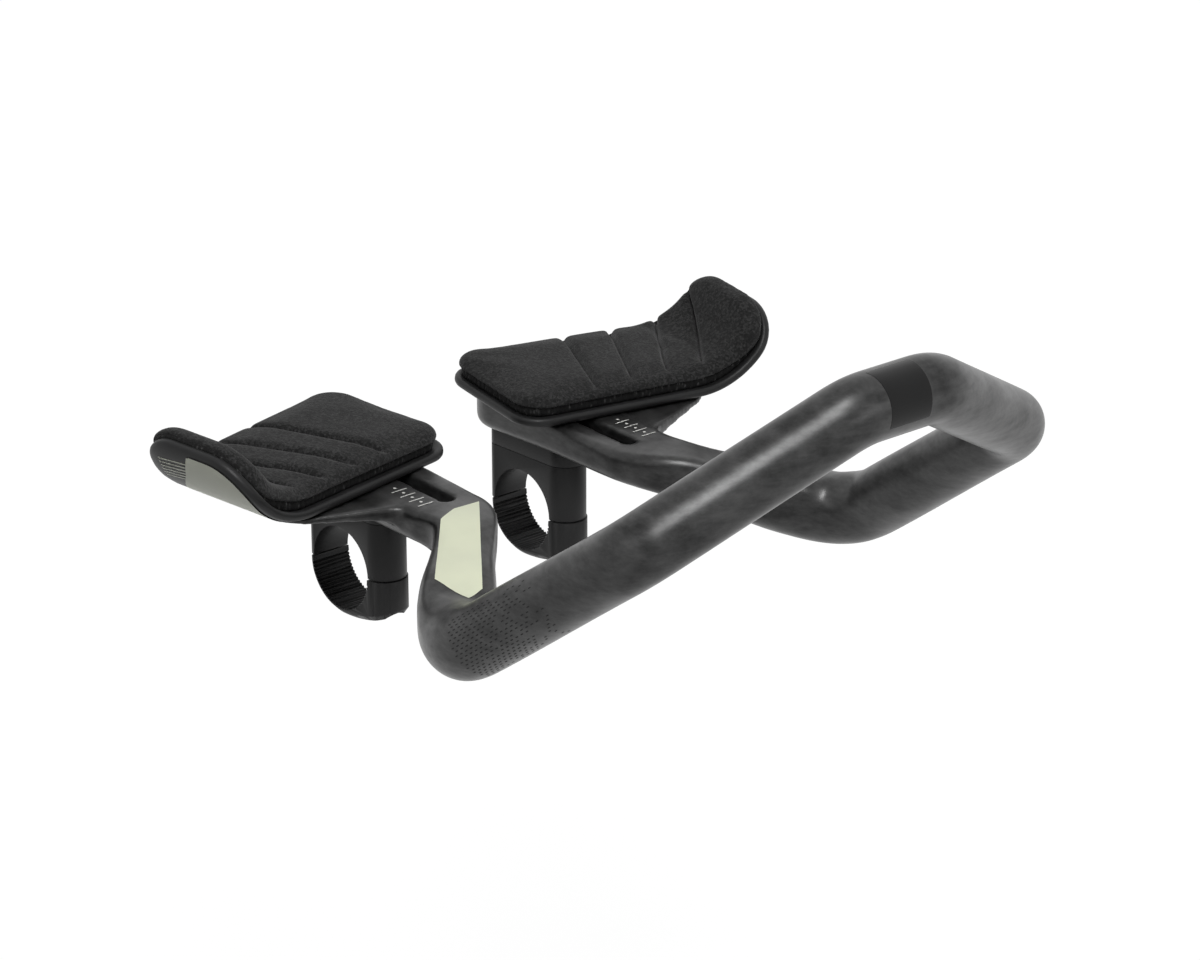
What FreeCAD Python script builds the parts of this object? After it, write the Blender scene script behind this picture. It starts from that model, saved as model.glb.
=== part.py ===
import FreeCAD, Part
import math
import os
import re
from types import SimpleNamespace

from FreeCAD import Placement, Rotation, Vector

# Loop handlebar extension: a one-piece moulded loop on two handlebar clamps, with two padded arm rests.
# Millimetres and degrees. The origin is on the handlebar's axis, midway between the clamps;
# +X points to the rider's left, +Y backward and +Z up. The right side mirrors the left across X = 0.

SIZES = (
    # Handlebar clamps
    ("bar_radius", 15.9, "radius of the handlebar in the clamps"),
    ("split_gap", 0.5, "gap between the two halves of a clamp"),
    ("clamp_x", 44.2, "middle plane of a clamp, its bolts and the platform slot"),
    ("clamp_width", 16.0, "width of a clamp along the handlebar"),
    ("clamp_front_wall", 8.5, "how far a clamp reaches in front of its bore"),
    ("clamp_rear_wall", 4.6, "how far a clamp reaches behind its bore"),
    ("clamp_corner", 5.0, "rounding of a clamp's rear corners"),
    ("clamp_top", 22.2, "height of the clamp's top above the bar's axis"),
    ("cap_lip", 0.4, "how far the lower cap stands proud of the upper half"),
    ("cap_wall", 2.9, "wall of the cap below and behind its bore"),
    ("cap_rise", 4.8, "how far the cap's belly rises to its front end"),
    ("cap_bevel", 2.0, "bevel of the cap's lower edge"),
    ("tongue_wall", 0.9, "wall from the bore to the tongue at the cap's rear end"),
    ("tongue_thick", 1.6, "thickness of that tongue"),
    ("tongue_width", 8.0, "width of that tongue"),
    ("tongue_high", 3.0, "height of that tongue"),
    ("tongue_room", 0.15, "clearance round that tongue"),
    ("cap_seat", 7.4, "depth of the cap bolt's seat below the bar's axis"),
    ("rib_groove", 0.8, "side of the square grooves between the cap's grip ribs, set on edge"),
    ("rib_step", 5.0, "angle from one grip rib to the next"),
    ("rib_sweep", 160.0, "angle of the cap's bore that has grip ribs"),
    ("spacer_thick", 6.8, "thickness of the spacer between clamp and platform"),
    # Fasteners
    ("bolt_radius", 2.5, "shank radius of every bolt"),
    ("bolt_room", 0.3, "clearance round a bolt in a plain hole"),
    ("thread_room", 0.05, "clearance round a bolt in a threaded hole"),
    ("head_radius", 4.25, "radius of a bolt head"),
    ("hex_radius", 2.3, "corner radius of a bolt's hexagon socket"),
    ("cap_bolt_wall", 3.3, "distance of the cap bolt's axis in front of the bore"),
    ("cap_bolt_tip", 12.0, "height of the cap bolt's tip"),
    ("cap_head_high", 4.6, "height of a cap bolt's head"),
    ("tray_bolt_y", 12.0, "distance of the tray bolts from the bar's axis"),
    ("tray_bolt_tip", 17.6, "height of the tray bolts' tips"),
    ("tray_head_high", 2.3, "height of a tray bolt's low head"),
    ("tip_room", 1.0, "depth of a threaded hole past its bolt's tip"),
    ("washer_thick", 0.8, "thickness of every washer"),
    ("washer_radius", 4.6, "outer radius of every washer"),
    ("recess_room", 0.3, "clearance round a washer in its recess"),
    # Platforms at the ends of the loop
    ("platform_x", 46.8, "middle line of a platform"),
    ("platform_width", 31.0, "width of a platform"),
    ("platform_thick", 11.3, "thickness of a platform at its slot's front end"),
    ("platform_pitch", 3.7, "angle that a platform's top rises backward"),
    ("platform_rear", 30.0, "rear end of a platform"),
    ("seat_front", 26.0, "front end of a platform's seat for spacer and tray, forward of the bar's axis"),
    ("seat_proud", 0.25, "how far that seat stands proud of the moulded arm"),
    ("platform_edge", 2.4, "rounding of the long edges from platform to arm"),
    ("seat_bevel", 1.4, "bevel of the seat's upper edge"),
    ("seat_low_bevel", 3.0, "bevel of the seat's lower edge"),
    ("slot_width", 6.2, "width of the platform's slot"),
    ("slot_front", 54.5, "front end of the slot, forward of the bar's axis"),
    ("slot_rear", 18.0, "rear end of the slot, behind the bar's axis"),
    # Webs under the trays' fronts, at a platform's outer side
    ("web_front", 48.5, "front corner of a web at the platform, forward of the bar's axis"),
    ("web_rear", 14.0, "rear corner of a web at the platform, behind the bar's axis"),
    ("web_tip_x", 103.0, "outer end of a web"),
    ("web_tip_front", 34.5, "front corner of a web's outer end, forward of the bar's axis"),
    ("web_tip_rear", 14.0, "rear corner of a web's outer end, forward of the bar's axis"),
    ("web_root_thick", 5.2, "thickness of a web at the platform"),
    ("web_tip_thick", 1.9, "thickness of a web at its outer end"),
    ("web_clear", 0.4, "gap between a web and the tray over it"),
    ("web_round", 8.0, "rounding of a web's outer corners"),
    # Loop: corners of its middle line, forward of the bar's axis, and the bends there
    ("arm_corner_y", 67.0, "forward place of the corner from platform to arm"),
    ("arm_bend", 29.0, "bend radius from platform to arm"),
    ("elbow_x", 96.2, "sideways place of the elbow's corner"),
    ("elbow_y", 117.2, "forward place of the elbow's corner"),
    ("elbow_z", 15.8, "height of the elbow's corner"),
    ("elbow_bend", 29.0, "bend radius of the elbow"),
    ("shoulder_x", 89.8, "sideways place of the shoulder's corner"),
    ("shoulder_y", 201.5, "forward place of the shoulder's corner"),
    ("shoulder_z", 76.0, "height of the shoulder's corner"),
    ("shoulder_bend", 15.5, "bend radius of the shoulder"),
    ("nose_x", 17.4, "sideways place of the nose's corner"),
    ("nose_y", 227.1, "forward place of the nose"),
    ("nose_z", 113.5, "height of the nose"),
    ("nose_bend", 22.0, "bend radius beside the nose"),
    ("arm_width", 22.0, "width of the arm after its bend"),
    ("arm_thick", 17.2, "thickness of the arm after its bend"),
    ("arm_edge", 3.5, "rounding of the arm's upper edges"),
    ("grip_thick", 26.8, "diameter of the tube from elbow to shoulder"),
    ("shoulder_thick", 24.2, "diameter of the tube at the shoulder"),
    ("nose_thick", 23.9, "diameter of the tube at the nose"),
    # Arm trays, in their own axes: u outward, then backward, then up from the tray's underside
    ("tray_toe_in", 10.0, "angle that a tray is turned inward at its front"),
    ("tray_inner_front", 20.5, "front end of a tray's inner edge"),
    ("tray_inner_rear", 19.5, "rear end of a tray's inner edge"),
    ("tray_front", 22.0, "front edge of a tray"),
    ("tray_rear", 40.0, "rear edge of a tray at its inner end"),
    ("tray_thick", 4.0, "thickness of a tray"),
    ("tray_corner", 12.0, "rounding of the tray's inner corners"),
    ("tray_seat", 1.5, "height of the tray bolts' seat above the platform"),
    ("wing_start", 98.9, "where the tray's flat turns up into its wing"),
    ("wing_radius", 37.0, "radius of the wing's outer face"),
    ("wing_front", 22.5, "front edge of the wing"),
    ("wing_rear", 25.5, "rear edge of the wing"),
    ("wing_top", 29.0, "height of the wing's upper edge above the tray's underside"),
    ("wing_flare", 95.0, "where the tray's rear edge turns towards the wing"),
    ("flare_rear", 33.5, "rear edge of the tray there"),
    ("lip_thick", 2.0, "thickness of the lip round a tray's edge"),
    ("lip_width", 2.2, "width of that lip"),
    ("wing_front_round", 19.0, "rounding of the wing's upper front corner"),
    ("wing_rear_round", 13.0, "rounding of the wing's upper rear corner"),
    # Arm pads
    ("strip_thick", 1.0, "thickness of the hook-and-loop strips"),
    ("strip_width", 18.0, "width of a strip"),
    ("strip_start", 57.0, "inner end of the strips"),
    ("strip_end", 97.0, "outer end of the strips"),
    ("strip_front", 14.0, "front edge of the front strip"),
    ("strip_step", 27.0, "distance from one strip to the next"),
    ("pad_thick", 6.0, "thickness of a pad"),
    ("pad_inset", 1.0, "how far a pad's edge stands in from the tray's edge"),
    ("pad_rise", 4.0, "how far a pad rises above the wing's upper edge"),
)

doc = FreeCAD.newDocument("LoopExtension")
sheet = doc.addObject("Spreadsheet::Sheet", "Sizes")
for row, (alias, number, meaning) in enumerate(SIZES, start=1):
    sheet.set(f"A{row}", meaning)
    sheet.set(f"B{row}", str(number))
    sheet.setAlias(f"B{row}", alias)
doc.recompute()

ALIASES = {alias for alias, number, meaning in SIZES}
S = SimpleNamespace(**{alias: float(sheet.get(alias)) for alias in ALIASES})

# Places that several pieces share, as formulas of the sheet and as numbers
PLATFORM_BOTTOM = "clamp_top + spacer_thick"
CLAMP_FRONT = "(bar_radius + clamp_front_wall)"
CLAMP_REAR = "(bar_radius + clamp_rear_wall)"
CAP_DEPTH = "(bar_radius + cap_wall)"
CAP_BOLT_Y = "-(bar_radius + cap_bolt_wall)"
TONGUE_Y = "(bar_radius + tongue_wall)"
platform_bottom = S.clamp_top + S.spacer_thick
clamp_front = S.bar_radius + S.clamp_front_wall
cap_depth = S.bar_radius + S.cap_wall

UP = Vector(0, 0, 1)
ALONG = Vector(1, 0, 0)
BACK = Vector(0, 1, 0)

# Overshoot of cutting tools, and the distance under which points count as one
PAST = "40"
WIDE = 2 * S.nose_y
TOUCH = 1e-6

# Roundness of the tube's section, shares of the section where arm meets elbow, and taper along the elbow
TUBE_ROUND = 0.97
DEEP_HIGH = 0.93
DEEP_ROUND = 0.9
DEEP_EDGE = 1.6
TAPER_START = 0.2
TAPER_END = 0.6


def formula(words):
    """Expression in which each size's name refers to its cell."""
    return re.sub(r"[a-z_]+", lambda word: f"Sizes.{word[0]}" if word[0] in ALIASES else word[0], words)


def bind(item, formulas):
    """Tie properties of an object to formulas of the sheet."""
    for name, words in formulas.items():
        item.setExpression(name, formula(words))
    return item


def box(name, x, y, z):
    """Box between a low and a high formula along each axis."""
    spans = {"Length": x, "Width": y, "Height": z}
    sizes = {side: f"({high}) - ({low})" for side, (low, high) in spans.items()}
    corner = {f"Placement.Base.{axis}": low for axis, (low, high) in zip("xyz", (x, y, z))}
    return bind(doc.addObject("Part::Box", name), {**sizes, **corner})


def cylinder(name, radius, centre, z):
    """Upright cylinder round a centre in x and y, between a low and a high formula."""
    base = {f"Placement.Base.{axis}": place for axis, place in zip("xyz", (*centre, z[0]))}
    sizes = {"Radius": radius, "Height": f"({z[1]}) - ({z[0]})"}
    return bind(doc.addObject("Part::Cylinder", name), {**sizes, **base})


def joined(name, *items):
    """Items fused, with the seams between them removed."""
    result = doc.addObject("Part::MultiFuse", name)
    result.Shapes = list(items)
    result.Refine = True
    return result


def cut(name, base, *tools, refine=True):
    """Base with the tools taken away, and with the seams in its faces removed where wanted."""
    result = doc.addObject("Part::Cut", name)
    result.Base = base
    result.Tool = tools[0] if len(tools) == 1 else joined(f"{name}_tools", *tools)
    result.Refine = refine
    return result


def group(name, *items):
    """Separate solids in one sub-part."""
    result = doc.addObject("Part::Compound", name)
    result.Links = list(items)
    return result


def solid(name, shape, placement=None):
    """Sub-part whose shape is worked out here."""
    item = doc.addObject("Part::Feature", name)
    item.Shape = shape
    item.Placement = placement or Placement()
    return item


def stadium(name, half_width, y, z):
    """Upright block on the clamp's middle plane, with half-round ends in front and behind."""
    sides = (f"clamp_x - ({half_width})", f"clamp_x + ({half_width})")
    centres = (f"{y[0]} + {half_width}", f"{y[1]} - ({half_width})")
    middle = box(f"{name}_middle", sides, centres, z)
    ends = [cylinder(f"{name}_end", half_width, ("clamp_x", centre), z) for centre in centres]
    return joined(name, middle, *ends)


def clamp_block(name, proud, z):
    """Upright block with a clamp's outline, grown by proud: half-round in front, rounded corners behind."""
    half = f"(clamp_width / 2 + {proud})"
    turn = f"-{CLAMP_FRONT} + clamp_width / 2"
    rear = f"{CLAMP_REAR} - clamp_corner"
    corner = f"(clamp_corner + {proud})"
    inner = (f"clamp_x - {half} + {corner}", f"clamp_x + {half} - {corner}")
    pieces = [
        cylinder(f"{name}_front", half, ("clamp_x", turn), z),
        box(f"{name}_middle", (f"clamp_x - {half}", f"clamp_x + {half}"), (turn, rear), z),
        box(f"{name}_rear", inner, (turn, f"{CLAMP_REAR} + {proud}"), z),
        *(cylinder(f"{name}_corner", corner, (x, rear), z) for x in inner),
    ]
    return joined(name, *pieces)


def pair(distance):
    """Places in y of two bolts, in front of and behind the bar."""
    return (f"-{distance}", distance)


def bolt_holes(name, places, radius, z):
    """Upright holes on the clamp's middle plane, at places in y."""
    return [cylinder(name, radius, ("clamp_x", y), z) for y in places]


def rounded_prism(corners, radii, low, high, direction):
    """Prism over a polygon, from low to high along a direction, with its long edges rounded."""
    face = Part.Face(Part.makePolygon([*corners, corners[0]]))
    face.translate(direction * low)
    prism = face.extrude(direction * (high - low))
    for corner, radius in ((c, r) for c, r in zip(corners, radii) if r > 0):
        edge = next(e for e in prism.Edges if all(
            (v.Point - corner).cross(direction).Length < TOUCH for v in e.Vertexes))
        prism = prism.makeFillet(radius, [edge])
    return prism


# Platforms and webs


def seat_height(y):
    """Formula of the height of a platform's pitched top at a place in y."""
    return f"{PLATFORM_BOTTOM} + platform_thick + ({y} + slot_front) * tan(platform_pitch)"


def top_height(y):
    """Height of a platform's pitched top at a place in y."""
    return platform_bottom + S.platform_thick + (y + S.slot_front) * math.tan(math.radians(S.platform_pitch))


def tilted_room(point, turn):
    """Wide block whose floor passes through a point, turned there."""
    room = Part.makeBox(2 * WIDE, 2 * WIDE, WIDE, Vector(-WIDE, -WIDE, 0))
    room.Placement = Placement(point, turn)
    return room


def above_platforms(drop):
    """Room above the plane of both platforms' tops, or above a plane that lies lower by drop."""
    return tilted_room(Vector(0, 0, top_height(0) - drop), Rotation(ALONG, S.platform_pitch))


def platform():
    """Seat of the left platform, with a rounded rear end, level below and pitched on top."""
    half = S.platform_width / 2
    front = -S.seat_front
    inner, outer = S.platform_x - half, S.platform_x + half
    turn = S.platform_rear - half
    outline = ((outer, front), (outer, turn), (S.platform_x, S.platform_rear), (inner, turn), (inner, front))
    spots = [Vector(x, y, platform_bottom) for x, y in outline]
    sides = [Part.LineSegment(*spots[0:2]), Part.Arc(*spots[1:4]), Part.LineSegment(*spots[3:5]),
             Part.LineSegment(spots[4], spots[0])]
    face = Part.Face(Part.Wire([side.toShape() for side in sides]))
    block = face.extrude(UP * WIDE).cut(above_platforms(0))

    def rim(edge, low):
        ends = [vertex.Point for vertex in edge.Vertexes]
        is_front = all(abs(end.y - front) < TOUCH for end in ends)
        is_low = [abs(end.z - platform_bottom) < TOUCH for end in ends]
        return not is_front and (all(is_low) if low else not any(is_low))

    for bevel, low in ((S.seat_bevel, False), (S.seat_low_bevel, True)):
        block = block.makeChamfer(bevel, [edge for edge in block.Edges if rim(edge, low)])
    return block


def web():
    """Left web: carries the tray's front, full at the platform and thin at its outer end."""
    side = S.platform_x + S.platform_width / 2
    tips = [Vector(S.web_tip_x, y, 0) for y in (-S.web_tip_front, -S.web_tip_rear)]
    roots = []
    for tip, y in zip(tips, (-S.web_front, S.web_rear)):
        root = Vector(side, y, 0)
        roots.append(root + (root - tip).normalize() * (2 * S.platform_edge))
    corners = [roots[0], *tips, roots[1]]
    form = rounded_prism(corners, (0, S.web_round, S.web_round, 0), platform_bottom, WIDE, UP)
    slope = math.degrees(math.atan2(S.web_root_thick - S.web_tip_thick, S.web_tip_x - side))
    low = Vector(side, 0, top_height(0) - S.web_clear - S.web_root_thick)
    floor = tilted_room(low, Rotation(ALONG, S.platform_pitch).multiply(Rotation(BACK, -slope)))
    return form.cut(above_platforms(S.web_clear)).common(floor)


# Loop


def arc_stations(before, corner, after, radius, count):
    """Points and directions along the tangent arc that rounds a corner."""
    inward = (corner - before).normalize()
    outward = (after - corner).normalize()
    turn = inward.getAngle(outward)
    start = corner - inward * (radius * math.tan(turn / 2))
    axis = inward.cross(outward)
    stations = []
    for step in range(count + 1):
        spin = Rotation(axis, math.degrees(turn) * step / count)
        side = axis.cross(inward).normalize()
        centre = start + side * radius
        stations.append((centre + spin.multVec(side * -radius), spin.multVec(inward)))
    return stations


def section(point, direction, half_width, half_height, top_edge, low_edge):
    """Rounded-rectangle wire across the loop, level at its top."""
    height = (UP - direction * UP.dot(direction)).normalize()
    width = height.cross(direction)

    def at(across, up):
        return point + width * across + height * up

    def corner_arc(across, up, radius, start):
        spots = [math.radians(start + turn) for turn in (0, 45, 90)]
        return [at(across + radius * math.cos(a), up + radius * math.sin(a)) for a in spots]

    arcs = (
        corner_arc(half_width - top_edge, half_height - top_edge, top_edge, 0),
        corner_arc(top_edge - half_width, half_height - top_edge, top_edge, 90),
        corner_arc(low_edge - half_width, low_edge - half_height, low_edge, 180),
        corner_arc(half_width - low_edge, low_edge - half_height, low_edge, 270),
    )
    edges = []
    for arc, following in zip(arcs, arcs[1:] + arcs[:1]):
        edges.append(Part.Arc(*arc).toShape())
        edges.append(Part.LineSegment(arc[-1], following[0]).toShape())
    return Part.Wire(edges)


def round_size(diameter):
    """Section sizes of a round tube, with flats too short to see."""
    radius = diameter / 2
    return (radius, radius, radius * TUBE_ROUND, radius * TUBE_ROUND)


def between(low, high, share):
    """Section sizes part of the way from one section to another."""
    return tuple(a + (b - a) * share for a, b in zip(low, high))


def loop_stations():
    """Sections of the left half, from inside the platform's seat to the nose."""
    middle = platform_bottom + S.platform_thick / 2
    rear = Vector(S.platform_x, S.platform_rear, middle)
    arm = Vector(S.platform_x, -S.arm_corner_y, middle)
    elbow = Vector(S.elbow_x, -S.elbow_y, S.elbow_z)
    shoulder = Vector(S.shoulder_x, -S.shoulder_y, S.shoulder_z)
    nose = Vector(S.nose_x, -S.nose_y, S.nose_z)
    centre = Vector(0, -S.nose_y, S.nose_z)

    slim = (S.arm_width / 2, S.arm_thick / 2, S.arm_edge, S.arm_thick / 3)
    half_grip = S.grip_thick / 2
    deep = (half_grip, half_grip * DEEP_HIGH, S.arm_edge * DEEP_EDGE, half_grip * DEEP_ROUND)
    grip, late, thin = (round_size(d) for d in (S.grip_thick, S.shoulder_thick, S.nose_thick))
    elbow_start, elbow_end = (between(grip, late, share) for share in (TAPER_START, TAPER_END))

    stations = []
    arm_arc = arc_stations(rear, arm, elbow, S.arm_bend, 4)
    half_width, half_height = S.platform_width / 2 - S.seat_proud, S.platform_thick / 2 - S.seat_proud
    flat = (half_width, half_height, S.platform_edge, S.platform_edge)
    elbow_arc = arc_stations(arm, elbow, shoulder, S.elbow_bend, 6)
    shoulder_arc = arc_stations(elbow, shoulder, nose, S.shoulder_bend, 5)
    nose_arc = arc_stations(shoulder, nose, centre, S.nose_bend, 4)

    def straight(start, end, shares, low, high):
        (first, direction), (last, _) = start, end
        stations.extend((first + (last - first) * k, direction, between(low, high, k)) for k in shares)

    def bent(arc, low, high):
        stations.extend((*spot, between(low, high, k / (len(arc) - 1))) for k, spot in enumerate(arc))

    for y in (0, -S.seat_front / 2, -S.seat_front, (arm_arc[0][0].y - S.seat_front) / 2):
        rise = (top_height(y) - platform_bottom - S.platform_thick) / 2
        spot = Vector(S.platform_x, y, middle + rise)
        stations.append((spot, arm_arc[0][1], (flat[0], flat[1] + rise, *flat[2:])))
    bent(arm_arc, flat, slim)
    straight(arm_arc[-1], elbow_arc[0], (0.5,), slim, deep)
    bent(elbow_arc[:4], deep, grip)
    bent(elbow_arc[4:], elbow_start, elbow_end)
    straight(elbow_arc[-1], shoulder_arc[0], (0.5,), elbow_end, late)
    bent(shoulder_arc, late, late)
    straight(shoulder_arc[-1], nose_arc[0], (0.5,), late, thin)
    bent(nose_arc, thin, thin)
    return stations, (centre, Vector(-1, 0, 0), thin)


def mirrored(vector):
    """Point across the plane X = 0."""
    return Vector(-vector.x, vector.y, vector.z)


def loop_extension():
    """One-piece loop: both platforms, arms and the tube between them, with the platforms' slots."""
    left, centre = loop_stations()
    right = [(mirrored(spot), mirrored(direction) * -1, sizes) for spot, direction, sizes in reversed(left)]
    wires = [section(spot, direction, *sizes) for spot, direction, sizes in [*left, centre, *right]]
    bars = [solid("platform", platform()), solid("web", web())]
    blank = joined("loop_blank", solid("tube", Part.makeLoft(wires, True, True)), *bars,
                   *(mirror(f"{bar.Name}_right", bar) for bar in bars))
    slot = stadium("slot", "slot_width / 2", ("-slot_front", "slot_rear"),
                   (f"{PLATFORM_BOTTOM} - {PAST}", f"{PLATFORM_BOTTOM} + {PAST}"))
    return cut("loop_extension", blank, slot, mirror("slot_right", slot), refine=False)


# Handlebar clamps


def bar_bore():
    """Bore for the handlebar, past both faces of a clamp."""
    bore = doc.addObject("Part::Cylinder", "bar_bore")
    bore.Placement = Placement(Vector(), Rotation(BACK, 90))
    sizes = {"Radius": "bar_radius", "Height": f"2 * {PAST}"}
    return bind(bore, {**sizes, "Placement.Base.x": f"clamp_x - {PAST}"})


def clamp_upper():
    """Upper half of a clamp: takes the cap bolts from below and the tray bolts from above."""
    block = clamp_block("upper_block", "0", ("split_gap / 2", "clamp_top"))
    thread = "bolt_radius + thread_room"
    cap_holes = bolt_holes("cap_thread", [CAP_BOLT_Y], thread, ("0", "cap_bolt_tip + tip_room"))
    tray_holes = bolt_holes("tray_thread", pair("tray_bolt_y"), thread,
                            ("tray_bolt_tip - tip_room", f"clamp_top + {PAST}"))
    return cut("left_clamp_upper", block, bar_bore(), tongue("notch", "tongue_room"), *cap_holes, *tray_holes)


def tongue(name, room):
    """Tongue at a cap's rear end, or with room round it the notch that it hooks into."""
    half = f"(tongue_width / 2 + {room})"
    x = (f"clamp_x - {half}", f"clamp_x + {half}")
    y = (f"{TONGUE_Y} - {room}", f"{TONGUE_Y} + tongue_thick + {room}")
    return box(name, x, y, ("-split_gap", f"tongue_high + {room}"))


def grip_grooves():
    """Sharp grooves along the cap's bore, which leave grip ribs between them."""
    count = int(S.rib_sweep / S.rib_step) + 1
    side = S.rib_groove
    grooves = []
    for index in range(count):
        angle = -90 + S.rib_step * (index - (count - 1) / 2)
        turn = Rotation(ALONG, angle)
        groove = Part.makeBox(2 * S.clamp_width, side, side, Vector(-S.clamp_width, -side / 2, -side / 2))
        groove.Placement = Placement(Vector(S.clamp_x, 0, 0) + turn.multVec(Vector(0, S.bar_radius, 0)),
                                     Rotation(ALONG, angle + 45))
        grooves.append(groove)
    return solid("grip_grooves", Part.makeCompound(grooves))


def cap_form():
    """Outer form of a cap: round behind and below, fuller in front for its bolt, bevelled below."""
    block = clamp_block("cap_block", "cap_lip", (f"-2 * {CAP_DEPTH}", "-split_gap / 2"))
    doc.recompute()
    radius = (clamp_front ** 2 + S.cap_rise ** 2) / (2 * S.cap_rise)
    width = 2 * S.clamp_width
    start = Vector(S.clamp_x - S.clamp_width, 0, 0)
    belly = Part.makeCylinder(radius, width, start + UP * (radius - cap_depth), ALONG)
    front = Part.makeBox(width, WIDE, 2 * WIDE, start - Vector(0, WIDE, WIDE))
    ring = Part.makeCylinder(cap_depth, width, start, ALONG)
    form = block.Shape.common(belly.common(front).fuse(ring)).removeSplitter()
    return form.makeChamfer(S.cap_bevel, lower_rim(form, ALONG))


def lower_rim(form, axis):
    """Edges round the faces of a form that bend about an axis, without the edges that run along it."""
    bent = [face for face in form.Faces if isinstance(face.Surface, Part.Cylinder)
            and face.Surface.Axis.cross(axis).Length < TOUCH]
    edges = [edge for face in bent for edge in face.Edges]
    spans = [edge.Vertexes[-1].Point - edge.Vertexes[0].Point for edge in edges]
    return [edge for edge, span in zip(edges, spans) if span.cross(axis).Length > TOUCH]


def clamp_cap():
    """Lower half of a clamp: a rounded belly, ribbed inside, with a recess for its bolt in front."""
    holes = bolt_holes("cap_hole", [CAP_BOLT_Y], "bolt_radius + bolt_room", (f"-{CAP_DEPTH}", "0"))
    recesses = bolt_holes("cap_recess", [CAP_BOLT_Y], "washer_radius + recess_room",
                          (f"-{CAP_DEPTH} - {PAST}", "-cap_seat"))
    bored = cut("cap_bored", solid("cap_form", cap_form()), bar_bore(), *holes, *recesses, grip_grooves())
    return joined("left_clamp_cap", bored, tongue("cap_tongue", "0"))


def riser_spacer():
    """Spacer between clamp and platform, with the clamp's outline."""
    block = clamp_block("spacer_block", "0", ("clamp_top", PLATFORM_BOTTOM))
    holes = bolt_holes("spacer_hole", pair("tray_bolt_y"), "bolt_radius + bolt_room",
                       (f"clamp_top - {PAST}", f"clamp_top + {PAST}"))
    return cut("left_riser_spacer", block, *holes)


# Fasteners


def bolts(name, places):
    """Socket-head bolts, each with its place in y and spans in z for shank, head and hexagon socket."""
    made = []
    for y, shank, head, socket in places:
        centre = ("clamp_x", y)
        body = joined("bolt_body", cylinder("shank", "bolt_radius", centre, shank),
                      cylinder("head", "head_radius", centre, head))
        key = doc.addObject("Part::Prism", "hexagon")
        key.Polygon = 6
        base = {f"Placement.Base.{axis}": place for axis, place in zip("xyz", (*centre, socket[0]))}
        bind(key, {"Circumradius": "hex_radius", "Height": f"({socket[1]}) - ({socket[0]})", **base})
        made.append(cut("bolt", body, key))
    return group(name, *made)


def washers(name, places):
    """Plain washers, each with its place in y and span in z."""
    made = []
    for y, z in places:
        centre = ("clamp_x", y)
        disc = cylinder("washer_disc", "washer_radius", centre, z)
        made.append(cut("washer", disc, cylinder("washer_hole", "bolt_radius + bolt_room", centre, z)))
    return group(name, *made)


def cap_fasteners():
    """Bolt that pulls the cap's front up to the upper half, and its washer."""
    face = "-cap_seat - washer_thick"
    bottom = f"{face} - cap_head_high"
    socket = (f"{bottom} - {PAST}", f"{bottom} + cap_head_high / 2")
    return (bolts("left_cap_bolt", [(CAP_BOLT_Y, (face, "cap_bolt_tip"), (bottom, face), socket)]),
            washers("left_cap_washer", [(CAP_BOLT_Y, (face, "-cap_seat"))]))


def bolt_seat(y):
    """Formula of the height of a tray bolt's seat in the tray."""
    return f"{seat_height(y)} + tray_seat"


def tray_fasteners():
    """Bolts that hold tray, platform and spacer down on the clamp, and their washers."""
    shapes, rings = [], []
    for y in pair("tray_bolt_y"):
        seat = bolt_seat(y)
        face = f"{seat} + washer_thick"
        top = f"{face} + tray_head_high"
        socket = (f"{top} - tray_head_high / 2", f"{top} + {PAST}")
        shapes.append((y, ("tray_bolt_tip", face), (face, top), socket))
        rings.append((y, (seat, face)))
    return bolts("left_tray_bolts", shapes), washers("left_tray_washers", rings)


# Arm rests


def tray_placement():
    """Where a tray's own axes lie: flat on the platform's top and turned in at the front."""
    turn = Rotation(ALONG, S.platform_pitch).multiply(Rotation(UP, -S.tray_toe_in))
    return Placement(Vector(0, 0, top_height(0)), turn)


def rest_form(low, high, inset, top):
    """Layer of the arm rest between two heights: a flat that turns up into the wing, as far as top.

    The layer's outline stands in from the tray's edge by inset.
    """
    start, reach = -S.tray_front - S.tray_rear, 2 * (S.tray_front + S.tray_rear)
    flat = Part.makeBox(S.wing_start, reach, high - low, Vector(0, start, low))
    hub = Vector(S.wing_start, start, S.wing_radius)
    outside, inside = (Part.makeCylinder(S.wing_radius - height, reach, hub, BACK) for height in (low, high))
    corner = Part.makeBox(S.wing_radius, reach, S.wing_radius, Vector(S.wing_start, start, 0))
    form = flat.fuse(outside.cut(inside).common(corner))

    end = S.wing_start + S.wing_radius + S.tray_thick
    outline = ((S.tray_inner_front + inset, -S.tray_front + inset), (end, -S.wing_front + inset),
               (end, S.wing_rear - inset), (S.wing_flare, S.flare_rear - inset),
               (S.tray_inner_rear + inset, S.tray_rear - inset))
    inner_round = S.tray_corner - inset / 2
    rounds = (inner_round, 0, 0, 0, inner_round)
    plan = rounded_prism([Vector(u, y, 0) for u, y in outline], rounds, -S.wing_radius, 2 * S.wing_radius, UP)
    profile = ((-S.wing_front + inset, top), (S.wing_rear - inset, top), (reach, -reach), (-reach, -reach))
    rounds = (S.wing_front_round - inset / 2, S.wing_rear_round - inset / 2, 0, 0)
    side = rounded_prism([Vector(0, y, z) for y, z in profile], rounds, 0, 2 * end, ALONG)
    return form.common(plan).common(side).removeSplitter()


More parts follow.
